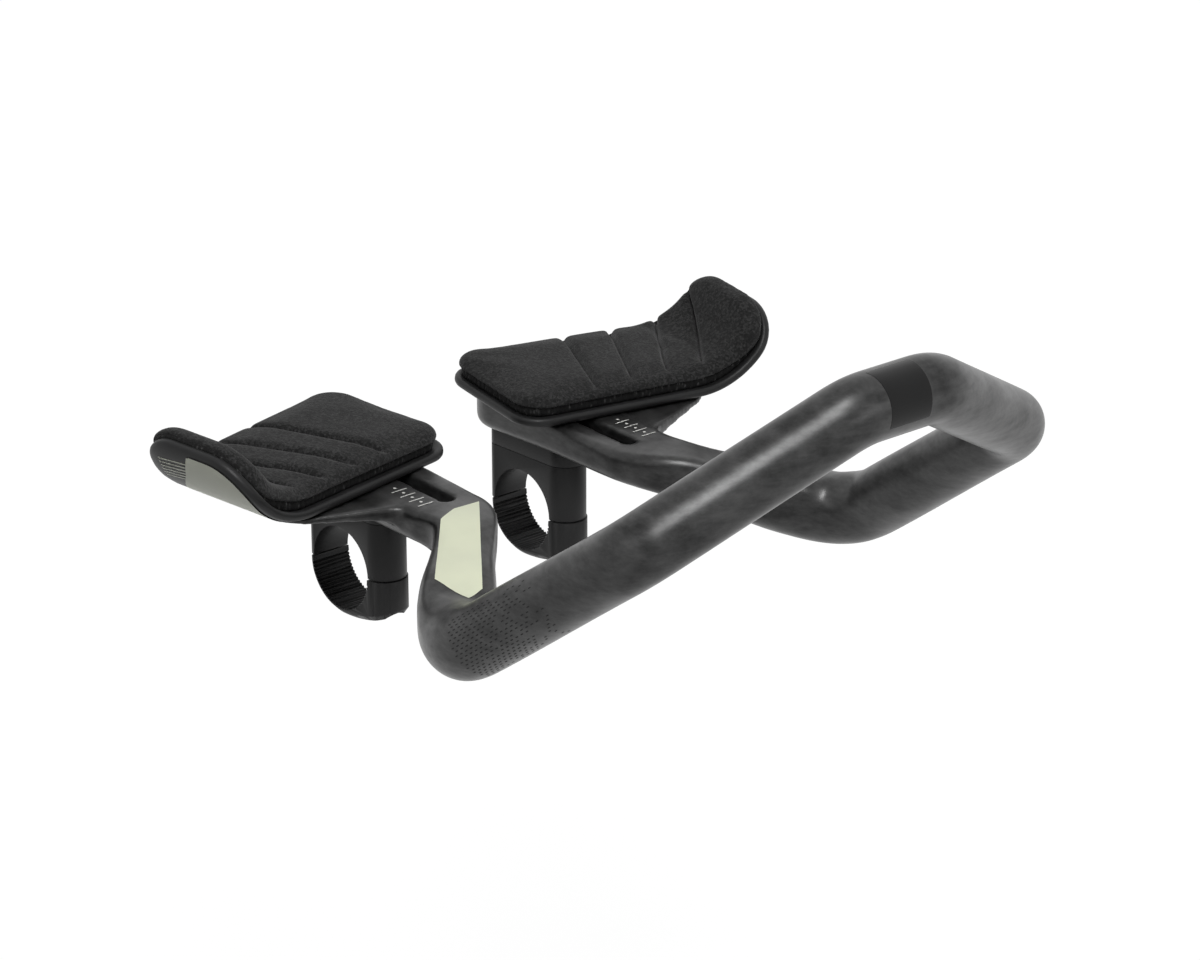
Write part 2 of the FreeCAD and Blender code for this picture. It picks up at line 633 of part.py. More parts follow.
def arm_tray():
    """Tray with its wing, flat on the platform, with a thin lip round its edge and recesses for its bolts."""
    body = rest_form(0, S.tray_thick - S.lip_thick / 2, S.lip_width, S.wing_top - S.lip_width)
    lip = rest_form(S.tray_thick - S.lip_thick, S.tray_thick, 0, S.wing_top)
    form = body.fuse(lip).removeSplitter()
    shell = solid("tray_shell", form, tray_placement())
    recesses = [cylinder("tray_recess", "washer_radius + recess_room", ("clamp_x", y),
                         (bolt_seat(y), f"{bolt_seat(y)} + {PAST}")) for y in pair("tray_bolt_y")]
    holes = bolt_holes("tray_hole", pair("tray_bolt_y"), "bolt_radius + bolt_room",
                       (PLATFORM_BOTTOM, f"{PLATFORM_BOTTOM} + {PAST}"))
    return cut("left_arm_tray", shell, *recesses, *holes)


def pad_strips():
    """Hook-and-loop strips on the tray's flat, clear of its bolts."""
    length = S.strip_end - S.strip_start
    strips = [Part.makeBox(length, S.strip_width, S.strip_thick,
                           Vector(S.strip_start, -S.strip_front + S.strip_step * index, S.tray_thick))
              for index in range(2)]
    return solid("left_pad_strips", Part.makeCompound(strips), tray_placement())


def arm_pad():
    """Foam pad on the strips, over the tray's flat and up its wing."""
    low = S.tray_thick + S.strip_thick
    form = rest_form(low, low + S.pad_thick, S.pad_inset, S.wing_top + S.pad_rise)
    return solid("left_arm_pad", form, tray_placement())


def mirror(name, source):
    """Copy of a left-hand piece for the right side."""
    copy = doc.addObject("Part::Mirroring", name)
    copy.Source = source
    copy.Normal = ALONG
    return copy


left_side = [clamp_upper(), clamp_cap(), riser_spacer(), *cap_fasteners(), *tray_fasteners(),
             arm_tray(), pad_strips(), arm_pad()]
right_side = [mirror(piece.Name.replace("left_", "right_"), piece) for piece in left_side]
sub_parts = [loop_extension(), *left_side, *right_side]
for piece in sub_parts:
    piece.Label = piece.Name
doc.recompute()

for item in doc.Objects:
    if {"Invalid", "Error"} & set(item.State):
        raise RuntimeError(f"{item.Name} did not build: {item.State}")
for piece in sub_parts:
    if piece.Shape.isNull() or not piece.Shape.isValid():
        raise RuntimeError(f"{piece.Label} has no valid shape")

os.makedirs("parts", exist_ok=True)
for piece in sub_parts:
    piece.Shape.exportStep(f"parts/{piece.Label}.step")
    print(f"{piece.Label}: {len(piece.Shape.Solids)} solids, {piece.Shape.Volume:.0f} cubic millimetres")
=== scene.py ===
"""Looks of a loop handlebar extension: a moulded loop on two bar clamps, with padded arm rests."""
import logging
import math
from contextlib import contextmanager
from dataclasses import dataclass
from enum import Enum
from typing import Callable, Iterable, Iterator, Sequence

import bmesh
import bpy
import numpy as np
from mathutils import Matrix, Vector
from mathutils.bvhtree import BVHTree
from mathutils.geometry import delaunay_2d_cdt


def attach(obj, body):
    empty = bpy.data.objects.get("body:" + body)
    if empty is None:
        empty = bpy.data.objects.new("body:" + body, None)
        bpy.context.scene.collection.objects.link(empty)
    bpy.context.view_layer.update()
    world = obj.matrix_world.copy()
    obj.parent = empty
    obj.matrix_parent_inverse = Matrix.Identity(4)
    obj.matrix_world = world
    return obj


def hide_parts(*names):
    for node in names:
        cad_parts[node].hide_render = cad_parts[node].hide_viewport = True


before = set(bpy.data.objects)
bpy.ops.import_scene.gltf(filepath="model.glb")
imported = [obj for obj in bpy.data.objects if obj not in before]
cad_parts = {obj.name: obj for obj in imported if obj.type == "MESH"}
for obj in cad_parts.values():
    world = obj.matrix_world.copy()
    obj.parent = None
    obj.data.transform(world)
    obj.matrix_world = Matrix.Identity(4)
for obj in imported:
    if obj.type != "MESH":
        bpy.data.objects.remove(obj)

LOG = logging.getLogger("scene")
MM = 0.001
UP = np.array([0.0, 0.0, 1.0])
FORWARD = np.array([0.0, -1.0, 0.0])

Point = np.ndarray
Triple = tuple[float, float, float]
Pair = tuple[float, float]
Outline = Sequence[Pair]
Faces = list[Sequence[int]]
Socket = bpy.types.NodeSocket


class Slot(str, Enum):
    """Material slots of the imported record."""

    COMPOSITE = "moulded_composite"
    ALLOY = "black_alloy"
    TRAY = "tray_plastic"
    HOOK = "hook_strip"
    FABRIC = "pad_fabric"


class Side(Enum):
    """Sides of the rider, with the sign of X there."""

    LEFT = 1.0
    RIGHT = -1.0

    @property
    def prefix(self) -> str:
        """Start of the names of this side's nodes."""
        return self.name.lower()


def mix(low: float, high: float, share: float) -> float:
    """Value at a share of the way from one value to another."""
    return low + (high - low) * share


# Materials


class Nodes:
    """Node tree of a material or the world, with short ways to add nodes and links."""

    def __init__(self, tree: bpy.types.NodeTree, axes: str) -> None:
        """Start on a tree.

        Args:
            tree: The node tree.
            axes: Name of the texture coordinates to use.
        """
        self.tree = tree
        self.coords = tree.nodes.new("ShaderNodeTexCoord").outputs[axes]

    def add(self, kind: str, values: dict[str | int, object] | None = None,
            **settings: object) -> bpy.types.Node:
        """Add a node.

        Args:
            kind: Blender's name of the node type.
            values: Input values by socket name; an output socket given as a value is linked.
            **settings: Properties of the node.

        Returns:
            The new node.
        """
        node = self.tree.nodes.new(kind)
        for key, value in settings.items():
            setattr(node, key, value)
        for key, value in (values or {}).items():
            self.put(node.inputs[key], value)
        return node

    def put(self, socket: Socket, value: object) -> None:
        """Set an input, or link it to an output socket.

        Args:
            socket: Input socket.
            value: A number, a colour or an output socket.
        """
        if isinstance(value, Socket):
            self.tree.links.new(value, socket)
        else:
            socket.default_value = value

    def plus(self, first: Socket, second: Socket) -> Socket:
        """Sum of two values."""
        return self.add("ShaderNodeMath", {0: first, 1: second}, operation="ADD").outputs[0]

    def span(self, value: Socket, low: float, high: float) -> Socket:
        """Value from 0..1 brought to a span."""
        return self.add("ShaderNodeMapRange", {"Value": value, "To Min": low, "To Max": high}).outputs[0]

    def ramp(self, value: Socket, stops: Sequence[tuple[float, Sequence[float]]]) -> Socket:
        """Colour ramp over a value.

        Args:
            value: Socket with values from 0 to 1.
            stops: Places and colours.

        Returns:
            Colour socket.
        """
        node = self.add("ShaderNodeValToRGB", {"Fac": value})
        elements = node.color_ramp.elements
        while len(elements) < len(stops):
            elements.new(1.0)
        for element, (place, colour) in zip(elements, stops):
            element.position = place
            element.color = (*colour, 1.0)
        return node.outputs["Color"]

    def backdrop(self, light: Socket, seen: Socket, output: str) -> None:
        """Light the object with one shader, and show another to the camera and in reflections.

        Args:
            light: Shader that lights the object.
            seen: Shader that is seen.
            output: Name of the tree's output node.
        """
        rays = self.add("ShaderNodeLightPath").outputs
        shown = rays["Is Camera Ray"]
        for ray in ("Is Glossy Ray", "Is Transmission Ray"):
            shown = self.add("ShaderNodeMath", {0: shown, 1: rays[ray]}, operation="MAXIMUM").outputs[0]
        both = self.add("ShaderNodeMixShader", {0: shown, 1: light, 2: seen})
        self.put(self.tree.nodes[output].inputs["Surface"], both.outputs[0])


class Shader(Nodes):
    """Node tree of one material."""

    def __init__(self, name: str) -> None:
        """Start a material with a principled surface.

        Args:
            name: Name of the material.
        """
        self.material = bpy.data.materials.new(name)
        self.material.use_nodes = True
        super().__init__(self.material.node_tree, "Object")
        self.surface = self.tree.nodes["Principled BSDF"]

    def set(self, **values: object) -> None:
        """Set or link inputs of the surface, by socket name with underscores for spaces."""
        for key, value in values.items():
            self.put(self.surface.inputs[key.replace("_", " ")], value)

    def noise(self, scale: float, detail: float = 3.0, stretch: Triple = (1, 1, 1),
              rough: float = 0.5) -> Socket:
        """Noise over the object's own axes.

        Args:
            scale: Features per metre.
            detail: Octaves.
            stretch: Scale of each axis.
            rough: Strength of the finer octaves.

        Returns:
            Socket with values from 0 to 1.
        """
        place = self.add("ShaderNodeMapping", {"Vector": self.coords, "Scale": stretch})
        return self.add("ShaderNodeTexNoise", {"Vector": place.outputs[0], "Scale": scale, "Detail": detail,
                                               "Roughness": rough}).outputs["Fac"]

    def bump(self, height: Socket, depth: float, strength: float, below: Socket | None = None) -> Socket:
        """Relief on the surface.

        Args:
            height: Socket with values from 0 to 1.
            depth: Height of the relief in metres.
            strength: Share of the relief that shows.
            below: Relief under this one.

        Returns:
            Normal socket.
        """
        node = self.add("ShaderNodeBump", {"Height": height, "Distance": depth, "Strength": strength})
        if below is not None:
            self.put(node.inputs["Normal"], below)
        return node.outputs[0]


def grey(level: float, tint: Triple = (1.0, 1.0, 1.0)) -> Triple:
    """Linear colour of a grey, with a multiplier for each channel."""
    return tuple(level * share for share in tint)


@dataclass(frozen=True)
class CompositeFinish:
    """Satin moulded composite with cloudy chopped fibre."""

    name: str = "moulded composite"
    dark: float = 0.002
    light: float = 0.036
    tint: Triple = (1.0, 1.0, 0.99)
    tones: Triple = (0.34, 0.52, 0.68)
    cloud_scale: float = 55.0
    cloud_stretch: Triple = (1.0, 0.5, 1.3)
    fibre_scale: float = 190.0
    fibre_stretch: Triple = (0.35, 1.0, 2.2)
    fibre_share: float = 0.2
    grain_scale: float = 2600.0
    roughness: Pair = (0.28, 0.46)
    shine: Pair = (0.03, 0.45)
    coat: Pair = (0.32, 0.3)

    def build(self) -> bpy.types.Material:
        """Make the material.

        Returns:
            The material.
        """
        s = Shader(self.name)
        cloud = s.noise(self.cloud_scale, 6.0, self.cloud_stretch, 0.7)
        fibre = s.noise(self.fibre_scale, 3.0, self.fibre_stretch, 0.6)
        mixed = s.plus(cloud, s.span(fibre, -self.fibre_share, self.fibre_share))
        levels = (grey(self.dark), grey((self.dark + self.light) / 2), grey(self.light, self.tint))
        grain = s.noise(self.grain_scale, 2.0)
        s.set(Base_Color=s.ramp(mixed, list(zip(self.tones, levels))),
              Roughness=s.span(mixed, self.roughness[1], self.roughness[0]),
              Specular_IOR_Level=s.span(mixed, *self.shine),
              Normal=s.bump(grain, 0.00005, 0.3, s.bump(fibre, 0.00006, 0.25)),
              Coat_Weight=self.coat[0], Coat_Roughness=self.coat[1])
        return s.material


@dataclass(frozen=True)
class SatinFinish:
    """Dark satin surface with fine grain, for anodised alloy and moulded plastic."""

    name: str
    level: float
    roughness: Pair
    metallic: float = 0.0
    grain_scale: float = 3200.0
    grain_depth: float = 0.00004
    patch_scale: float = 60.0
    spread: Pair = (0.8, 1.25)
    specular: float = 0.2
    tint: Triple = (1.0, 1.0, 1.02)

    def build(self) -> bpy.types.Material:
        """Make the material.

        Returns:
            The material.
        """
        s = Shader(self.name)
        patch = s.noise(self.patch_scale, 3.0)
        grain = s.noise(self.grain_scale, 2.0)
        low, high = (grey(self.level * share, self.tint) for share in self.spread)
        s.set(Base_Color=s.ramp(patch, ((0.3, low), (0.7, high))), Metallic=self.metallic,
              Roughness=s.span(patch, *self.roughness), Specular_IOR_Level=self.specular,
              Normal=s.bump(grain, self.grain_depth, 0.5))
        return s.material


@dataclass(frozen=True)
class KnitFinish:
    """Fine charcoal knit over foam: small loops of slightly different tone, with fuzz and soft sheen."""

    name: str = "pad knit"
    dark: float = 0.003
    light: float = 0.036
    loop: float = 0.0008
    loop_share: Pair = (0.0, 0.35)
    fuzz_scale: float = 1750.0
    fuzz_share: Pair = (-0.1, 0.75)
    worn_scale: float = 45.0
    worn_share: Pair = (-0.07, 0.07)
    roughness: Pair = (0.82, 0.98)
    sheen: Pair = (0.12, 0.5)
    specular: float = 0.2

    def build(self) -> bpy.types.Material:
        """Make the material.

        Returns:
            The material.
        """
        s = Shader(self.name)
        cells = s.add("ShaderNodeTexVoronoi", {"Vector": s.coords, "Scale": 1.0 / self.loop,
                                               "Randomness": 0.75}).outputs
        tone = s.add("ShaderNodeSeparateColor", {"Color": cells["Color"]}).outputs[0]
        fuzz = s.noise(self.fuzz_scale, 3.0, rough=0.75)
        worn = s.noise(self.worn_scale, 3.0)
        mixed = s.plus(s.span(tone, *self.loop_share), s.span(fuzz, *self.fuzz_share))
        toned = s.plus(mixed, s.span(worn, *self.worn_share))
        stops = ((0.25, grey(self.dark)), (0.48, grey(self.light * 0.3)), (0.7, grey(self.light)))
        s.set(Base_Color=s.ramp(toned, stops), Roughness=s.span(fuzz, *self.roughness),
              Sheen_Weight=self.sheen[0], Sheen_Roughness=self.sheen[1], Specular_IOR_Level=self.specular,
              Normal=s.bump(fuzz, 0.00025, 0.5, s.bump(cells["Distance"], 0.0002, 0.4)))
        return s.material


@dataclass(frozen=True)
class MeshFinish:
    """Black open mesh, with painted highlights where its upright yarns catch the light."""

    name: str = "side mesh"
    dark: float = 0.004
    # painted highlight: the bright tone on the yarns stands in for the light that they catch
    light: float = 0.09
    pitch: float = 0.0015
    stretch: Triple = (1.0, 1.0, 0.4)
    fuzz_scale: float = 1900.0
    fuzz_share: float = 0.2
    roughness: float = 0.85
    specular: float = 0.2

    def build(self) -> bpy.types.Material:
        """Make the material.

        Returns:
            The material.
        """
        s = Shader(self.name)
        place = s.add("ShaderNodeMapping", {"Vector": s.coords, "Scale": self.stretch})
        yarns = s.add("ShaderNodeTexVoronoi", {"Vector": place.outputs[0], "Scale": 1.0 / self.pitch})
        fuzz = s.noise(self.fuzz_scale, 3.0, rough=0.7)
        mixed = s.plus(yarns.outputs["Distance"], s.span(fuzz, -self.fuzz_share, self.fuzz_share))
        # the bright first stop, at the yarns, is a painted highlight on the black mesh
        stops = ((0.0, grey(self.light)), (0.28, grey(self.dark * 3)), (0.6, grey(self.dark)))
        s.set(Base_Color=s.ramp(mixed, stops), Roughness=self.roughness, Specular_IOR_Level=self.specular,
              Normal=s.bump(mixed, 0.0006, 0.8))
        return s.material


@dataclass(frozen=True)
class PrintFinish:
    """Printed field or mark, slightly uneven."""

    name: str
    colour: Triple
    roughness: Pair = (0.38, 0.5)
    worn: float = 0.93
    cloud_scale: float = 70.0
    fine_scale: float = 2400.0

    def build(self) -> bpy.types.Material:
        """Make the material.

        Returns:
            The material.
        """
        s = Shader(self.name)
        cloud = s.noise(self.cloud_scale, 3.0)
        fine = s.noise(self.fine_scale, 2.0)
        low = grey(self.worn, self.colour)
        s.set(Base_Color=s.ramp(cloud, ((0.3, low), (0.7, self.colour))),
              Roughness=s.span(cloud, *self.roughness), Normal=s.bump(fine, 0.00003, 0.3))
        return s.material


@dataclass(frozen=True)
class BackdropFinish:
    """Pale floor: seen as white with a faint shadow, and dimmer on the left where it lights the object."""

    name: str = "studio floor"
    white: float = 1.0
    near_white: float = 0.95
    fade: float = 0.9
    shadow_share: float = 0.08
    bounce: tuple[Pair, ...] = ((0.1, 0.03), (0.5, 0.35), (0.9, 1.0))
    bright_turn: float = 0.73
    steepness: float = 3.0

    def build(self) -> bpy.types.Material:
        """Make the material.

        Returns:
            The material.
        """
        s = Shader(self.name)
        ball = s.add("ShaderNodeMapping", {"Vector": s.coords, "Scale": (1 / self.fade,) * 3})
        across = s.add("ShaderNodeMapping", {"Vector": s.coords, "Location": (0.5, 0.0, 0.0),
                                             "Scale": (self.steepness,) * 3,
                                             "Rotation": (0.0, 0.0, self.bright_turn)})
        centre, slope = (s.add("ShaderNodeTexGradient", {"Vector": place.outputs[0]},
                               gradient_type=kind).outputs["Fac"]
                         for place, kind in ((ball, "SPHERICAL"), (across, "LINEAR")))
        glow = s.add("ShaderNodeEmission", {"Strength": s.span(centre, self.white, self.near_white)})
        matt = s.add("ShaderNodeBsdfDiffuse", {"Color": (*grey(self.shadow_share), 1.0)})
        seen = s.add("ShaderNodeAddShader", {0: glow.outputs[0], 1: matt.outputs[0]})
        levels = [(place, grey(bright)) for place, bright in self.bounce]
        light = s.add("ShaderNodeBsdfDiffuse", {"Color": s.ramp(slope, levels)})
        s.backdrop(light.outputs[0], seen.outputs[0], "Material Output")
        return s.material


class Palette:
    """All materials, each made once."""

    def __init__(self) -> None:
        """Make the materials."""
        finishes = {
            "composite": CompositeFinish(),
            "alloy": SatinFinish("clamp alloy", 0.014, (0.36, 0.5)),
            "tray": SatinFinish("tray plastic", 0.014, (0.36, 0.5), grain_scale=2400.0),
            "steel": SatinFinish("bolt steel", 0.12, (0.28, 0.42), 1.0),
            "knit": KnitFinish(),
            "mesh": MeshFinish(),
            "field": PrintFinish("pale field", (0.76, 0.79, 0.6)),
            # painted light: the wing field is the pale field painted brighter, for the light that the wing's
            # downward outer face misses
            "wing": PrintFinish("wing field", (0.92, 0.95, 0.8)),
            "mark": PrintFinish("scale mark", (0.75, 0.75, 0.72)),
            "grip": SatinFinish("grip mark", 0.003, (0.5, 0.7)),
            "gloss": SatinFinish("gloss band", 0.004, (0.08, 0.14), grain_depth=0.000004),
            "floor": BackdropFinish(),
        }
        self.made = {key: finish.build() for key, finish in finishes.items()}
        LOG.info("%d materials", len(self.made))

    def __getitem__(self, key: str) -> bpy.types.Material:
        """Material by its short name."""
        return self.made[key]


# Meshes and pieces


def shade_smooth(mesh: bpy.types.Mesh) -> None:
    """Shade all faces smooth."""
    mesh.polygons.foreach_set("use_smooth", [True] * len(mesh.polygons))


def dress(item: bpy.types.Object, material: bpy.types.Material) -> None:
    """Give an object one material."""
    item.data.materials.clear()
    item.data.materials.append(material)


def new_piece(name: str, points: np.ndarray, faces: Iterable[Sequence[int]],
              material: bpy.types.Material) -> bpy.types.Object:
    """Object with a smooth mesh.

    Args:
        name: Name of the object.
        points: Vertices in millimetres.
        faces: Vertex numbers of each face.
        material: Its material.

    Returns:
        The object, in the scene.
    """
    mesh = bpy.data.meshes.new(name)
    mesh.from_pydata((np.asarray(points) * MM).tolist(), [], [list(face) for face in faces])
    mesh.validate()
    shade_smooth(mesh)
    piece = bpy.data.objects.new(name, mesh)
    dress(piece, material)
    bpy.context.scene.collection.objects.link(piece)
    return piece


@contextmanager
def edited(mesh: bpy.types.Mesh) -> Iterator[bmesh.types.BMesh]:
    """Open a mesh for editing, and write it back at the end.

    Args:
        mesh: The mesh.

    Yields:
        The mesh in its editable form.
    """
    bm = bmesh.new()
    bm.from_mesh(mesh)
    yield bm
    bm.to_mesh(mesh)
    bm.free()


def baked(piece: bpy.types.Object) -> None:
    """Apply all modifiers of an object to its mesh.

    Args:
        piece: The object.
    """
    graph = bpy.context.evaluated_depsgraph_get()
    mesh = bpy.data.meshes.new_from_object(piece.evaluated_get(graph))
    piece.modifiers.clear()
    piece.data = mesh


def even_out(piece: bpy.types.Object, voxel: float, rounds: int) -> None:
    """Rebuild a mesh from even faces and smooth it, which softens its edges.

    Args:
        piece: The object.
        voxel: Size of the faces in millimetres.
        rounds: Rounds of smoothing.
    """
    remesh = piece.modifiers.new("remesh", "REMESH")
    remesh.mode = "VOXEL"
    remesh.voxel_size = voxel * MM
    remesh.use_smooth_shade = True
    smooth = piece.modifiers.new("smooth", "SMOOTH")
    smooth.factor = 0.5
    smooth.iterations = rounds
    baked(piece)


def settle(piece: bpy.types.Object, slot: Slot, *nodes: str) -> None:
    """Let a piece ride on the part, and hide the nodes that it stands for.

    Args:
        piece: The object.
        slot: Its material slot; not used.
        *nodes: CAD nodes that it replaces.
    """
    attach(piece, "root")
    if nodes:
        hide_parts(*nodes)
    LOG.info("%s: %d faces", piece.name, len(piece.data.polygons))


def grid_faces(rows: int, columns: int, wrap: bool) -> Faces:
    """Faces between rows of points.

    Args:
        rows: Number of rows.
        columns: Points in a row.
        wrap: Whether each row closes on itself.

    Returns:
        Four vertex numbers a face.
    """
    last = columns if wrap else columns - 1
    return [(r * columns + c, r * columns + (c + 1) % columns, (r + 1) * columns + (c + 1) % columns,
             (r + 1) * columns + c) for r in range(rows - 1) for c in range(last)]


def ribbon_faces(first: int, count: int) -> Faces:
    """Faces of a ribbon whose points come in pairs, from a first vertex number."""
    return [(k, k + 2, k + 3, k + 1) for k in range(first, first + 2 * count, 2)]


def rounded_outline(corners: Sequence[Triple], steps: int = 10) -> np.ndarray:
    """Closed outline with round corners.

    Args:
        corners: Two coordinates and a radius of each corner.
        steps: Steps in each round.

    Returns:
        Points in order, in two columns.
    """
    points = np.array([corner[:2] for corner in corners], float)
    outline = []
    for index, (_, _, radius) in enumerate(corners):
        here, before, after = points[index], points[index - 1], points[(index + 1) % len(points)]
        inward, outward = (v / np.linalg.norm(v) for v in (before - here, after - here))
        half = math.acos(np.clip(inward @ outward, -1, 1)) / 2
        first = here + inward * radius / math.tan(half)
        last = here + outward * radius / math.tan(half)
        hub = here + (inward + outward) / np.linalg.norm(inward + outward) * radius / math.sin(half)
        share = np.linspace(0, 1, steps + 1)[:, None]
        turn = math.pi - 2 * half
        arc = (first - hub) * np.sin((1 - share) * turn) + (last - hub) * np.sin(share * turn)
        outline.append(hub + arc / math.sin(turn))
    return np.vstack(outline)


def evenly(outline: np.ndarray, count: int) -> np.ndarray:
    """Closed outline at even steps.

    Args:
        outline: Points in order.
        count: Points wanted.

    Returns:
        Points at even distances along the outline.
    """
    closed = np.vstack([outline, outline[:1]])
    along = np.concatenate([[0.0], np.cumsum(np.linalg.norm(np.diff(closed, axis=0), axis=1))])
    places = np.linspace(0, along[-1], count, endpoint=False)
    return np.stack([np.interp(places, along, closed[:, k]) for k in range(2)], axis=1)


def inset(outline: np.ndarray, distance: float) -> np.ndarray:
    """Outline moved inward.

    Args:
        outline: Even points in order, anticlockwise.
        distance: How far inward.

    Returns:
        The same number of points.
    """
    tangent = np.roll(outline, -1, axis=0) - np.roll(outline, 1, axis=0)
    tangent /= np.linalg.norm(tangent, axis=1)[:, None]
    return outline + distance * np.stack([-tangent[:, 1], tangent[:, 0]], axis=1)


class Patch:
    """Even mesh inside an outline, laid on a surface."""

    def __init__(self, outline: Outline, step: float, place: Callable[[float, float], Point]) -> None:
        """Lay a patch out.

        Args:
            outline: Corners in the surface's two coordinates.
            step: Distance between points inside.
            place: Gives the point on the surface, in millimetres.
        """
        corners = np.array(outline, float)
        border = []
        for start, end in zip(corners, np.roll(corners, -1, axis=0)):
            count = max(1, int(np.linalg.norm(end - start) / step))
            border.extend(start + (end - start) * k / count for k in range(count))
        low, high = corners.min(axis=0), corners.max(axis=0)
        inner = [(a, b) for a in np.arange(low[0] + step / 2, high[0], step)
                 for b in np.arange(low[1] + step / 2, high[1], step)]
        edge = np.array(border)
        spots = [Vector(p) for p in [*border, *(p for p in inner if self.holds(edge, p, step / 3))]]
        edges = [(k, (k + 1) % len(border)) for k in range(len(border))]
        spots, _, faces, *_ = delaunay_2d_cdt(spots, edges, [], 1, 1e-5)
        self.points = np.array([place(p.x, p.y) for p in spots])
        self.faces = faces

    @staticmethod
    def holds(border: np.ndarray, spot: Pair, room: float) -> bool:
        """Whether a spot lies inside the border with some room.

        Args:
            border: Points of the border in order.
            spot: The spot.
            room: Least distance from the border's points.

        Returns:
            True if it does.
        """
        a, b = border, np.roll(border, -1, axis=0)
        rises = (a[:, 1] > spot[1]) != (b[:, 1] > spot[1])
        with np.errstate(divide="ignore", invalid="ignore"):
            cross = a[:, 0] + (spot[1] - a[:, 1]) / (b[:, 1] - a[:, 1]) * (b[:, 0] - a[:, 0])
        inside = np.count_nonzero(rises & (spot[0] < cross)) % 2 == 1
        return bool(inside and np.linalg.norm(border - spot, axis=1).min() > room)

    def build(self, name: str, material: bpy.types.Material, slot: Slot) -> None:
        """Make the patch a piece of its own."""
        settle(new_piece(name, self.points, self.faces, material), slot)


# Loop


@dataclass(frozen=True)
class LoopSizes:
    """Sizes of the loop in millimetres, with y forward of the bar's axis as negative."""

    platform_x: float = 46.8
    platform_half: float = 15.5
    platform_low: float = 29.0
    platform_rear: float = 30.0
    platform_edge: float = 2.4
    platform_low_edge: float = 4.6
    edge_limit: float = 0.9
    rear_turns: tuple[int, ...] = (84, 78, 70, 60, 50, 40, 30, 20, 10, 0)
    belly: Triple = (1.4, -20.0, -54.0)
    top_level: float = 43.824
    top_pitch: float = 3.7
    arm_corner: Triple = (46.8, -67.0, 34.0)
    elbow: Triple = (96.2, -117.2, 15.4)
    shoulder: Triple = (89.8, -201.5, 76.0)
    nose: Triple = (17.4, -227.1, 113.5)
    bends: tuple[float, ...] = (29.0, 29.0, 15.5, 22.0)
    bend_steps: tuple[int, ...] = (10, 16, 12, 10)
    arm_half: Pair = (11.0, 8.9)
    arm_edge: float = 4.0
    arm_low_share: float = 0.67
    elbow_shares: Triple = (0.93, 1.6, 0.9)
    elbow_steps: int = 9
    grip: float = 13.4
    grip_taper: float = 0.6
    grip_start: float = 0.16
    late: float = 12.1
    thin: float = 11.95
    round_share: float = 0.995
    slot_x: float = 44.2
    slot_half: float = 3.1
    slot_ends: Pair = (-54.5, 18.0)
    slot_cut: Pair = (20.0, 60.0)
    web_front: Pair = (-47.8, -33.8)
    web_rear: Pair = (14.0, -14.0)
    web_overlap: float = 6.0
    web_tip: float = 103.0
    web_round: float = 8.0
    web_columns: int = 24
    web_thick: Pair = (5.2, 1.9)
    web_swell: Pair = (3.0, 3.0)
    web_fillet: Pair = (1.0, 1.6)
    web_clear: float = 0.4
    web_lowest: float = 0.3
    voxel: float = 0.9
    smoothing: int = 9
    ray_room: float = 40.0
    ray_top: float = 100.0

    def top(self, y: float) -> float:
        """Height of a platform's top at a place fore and aft."""
        return self.top_level + y * math.tan(math.radians(self.top_pitch))


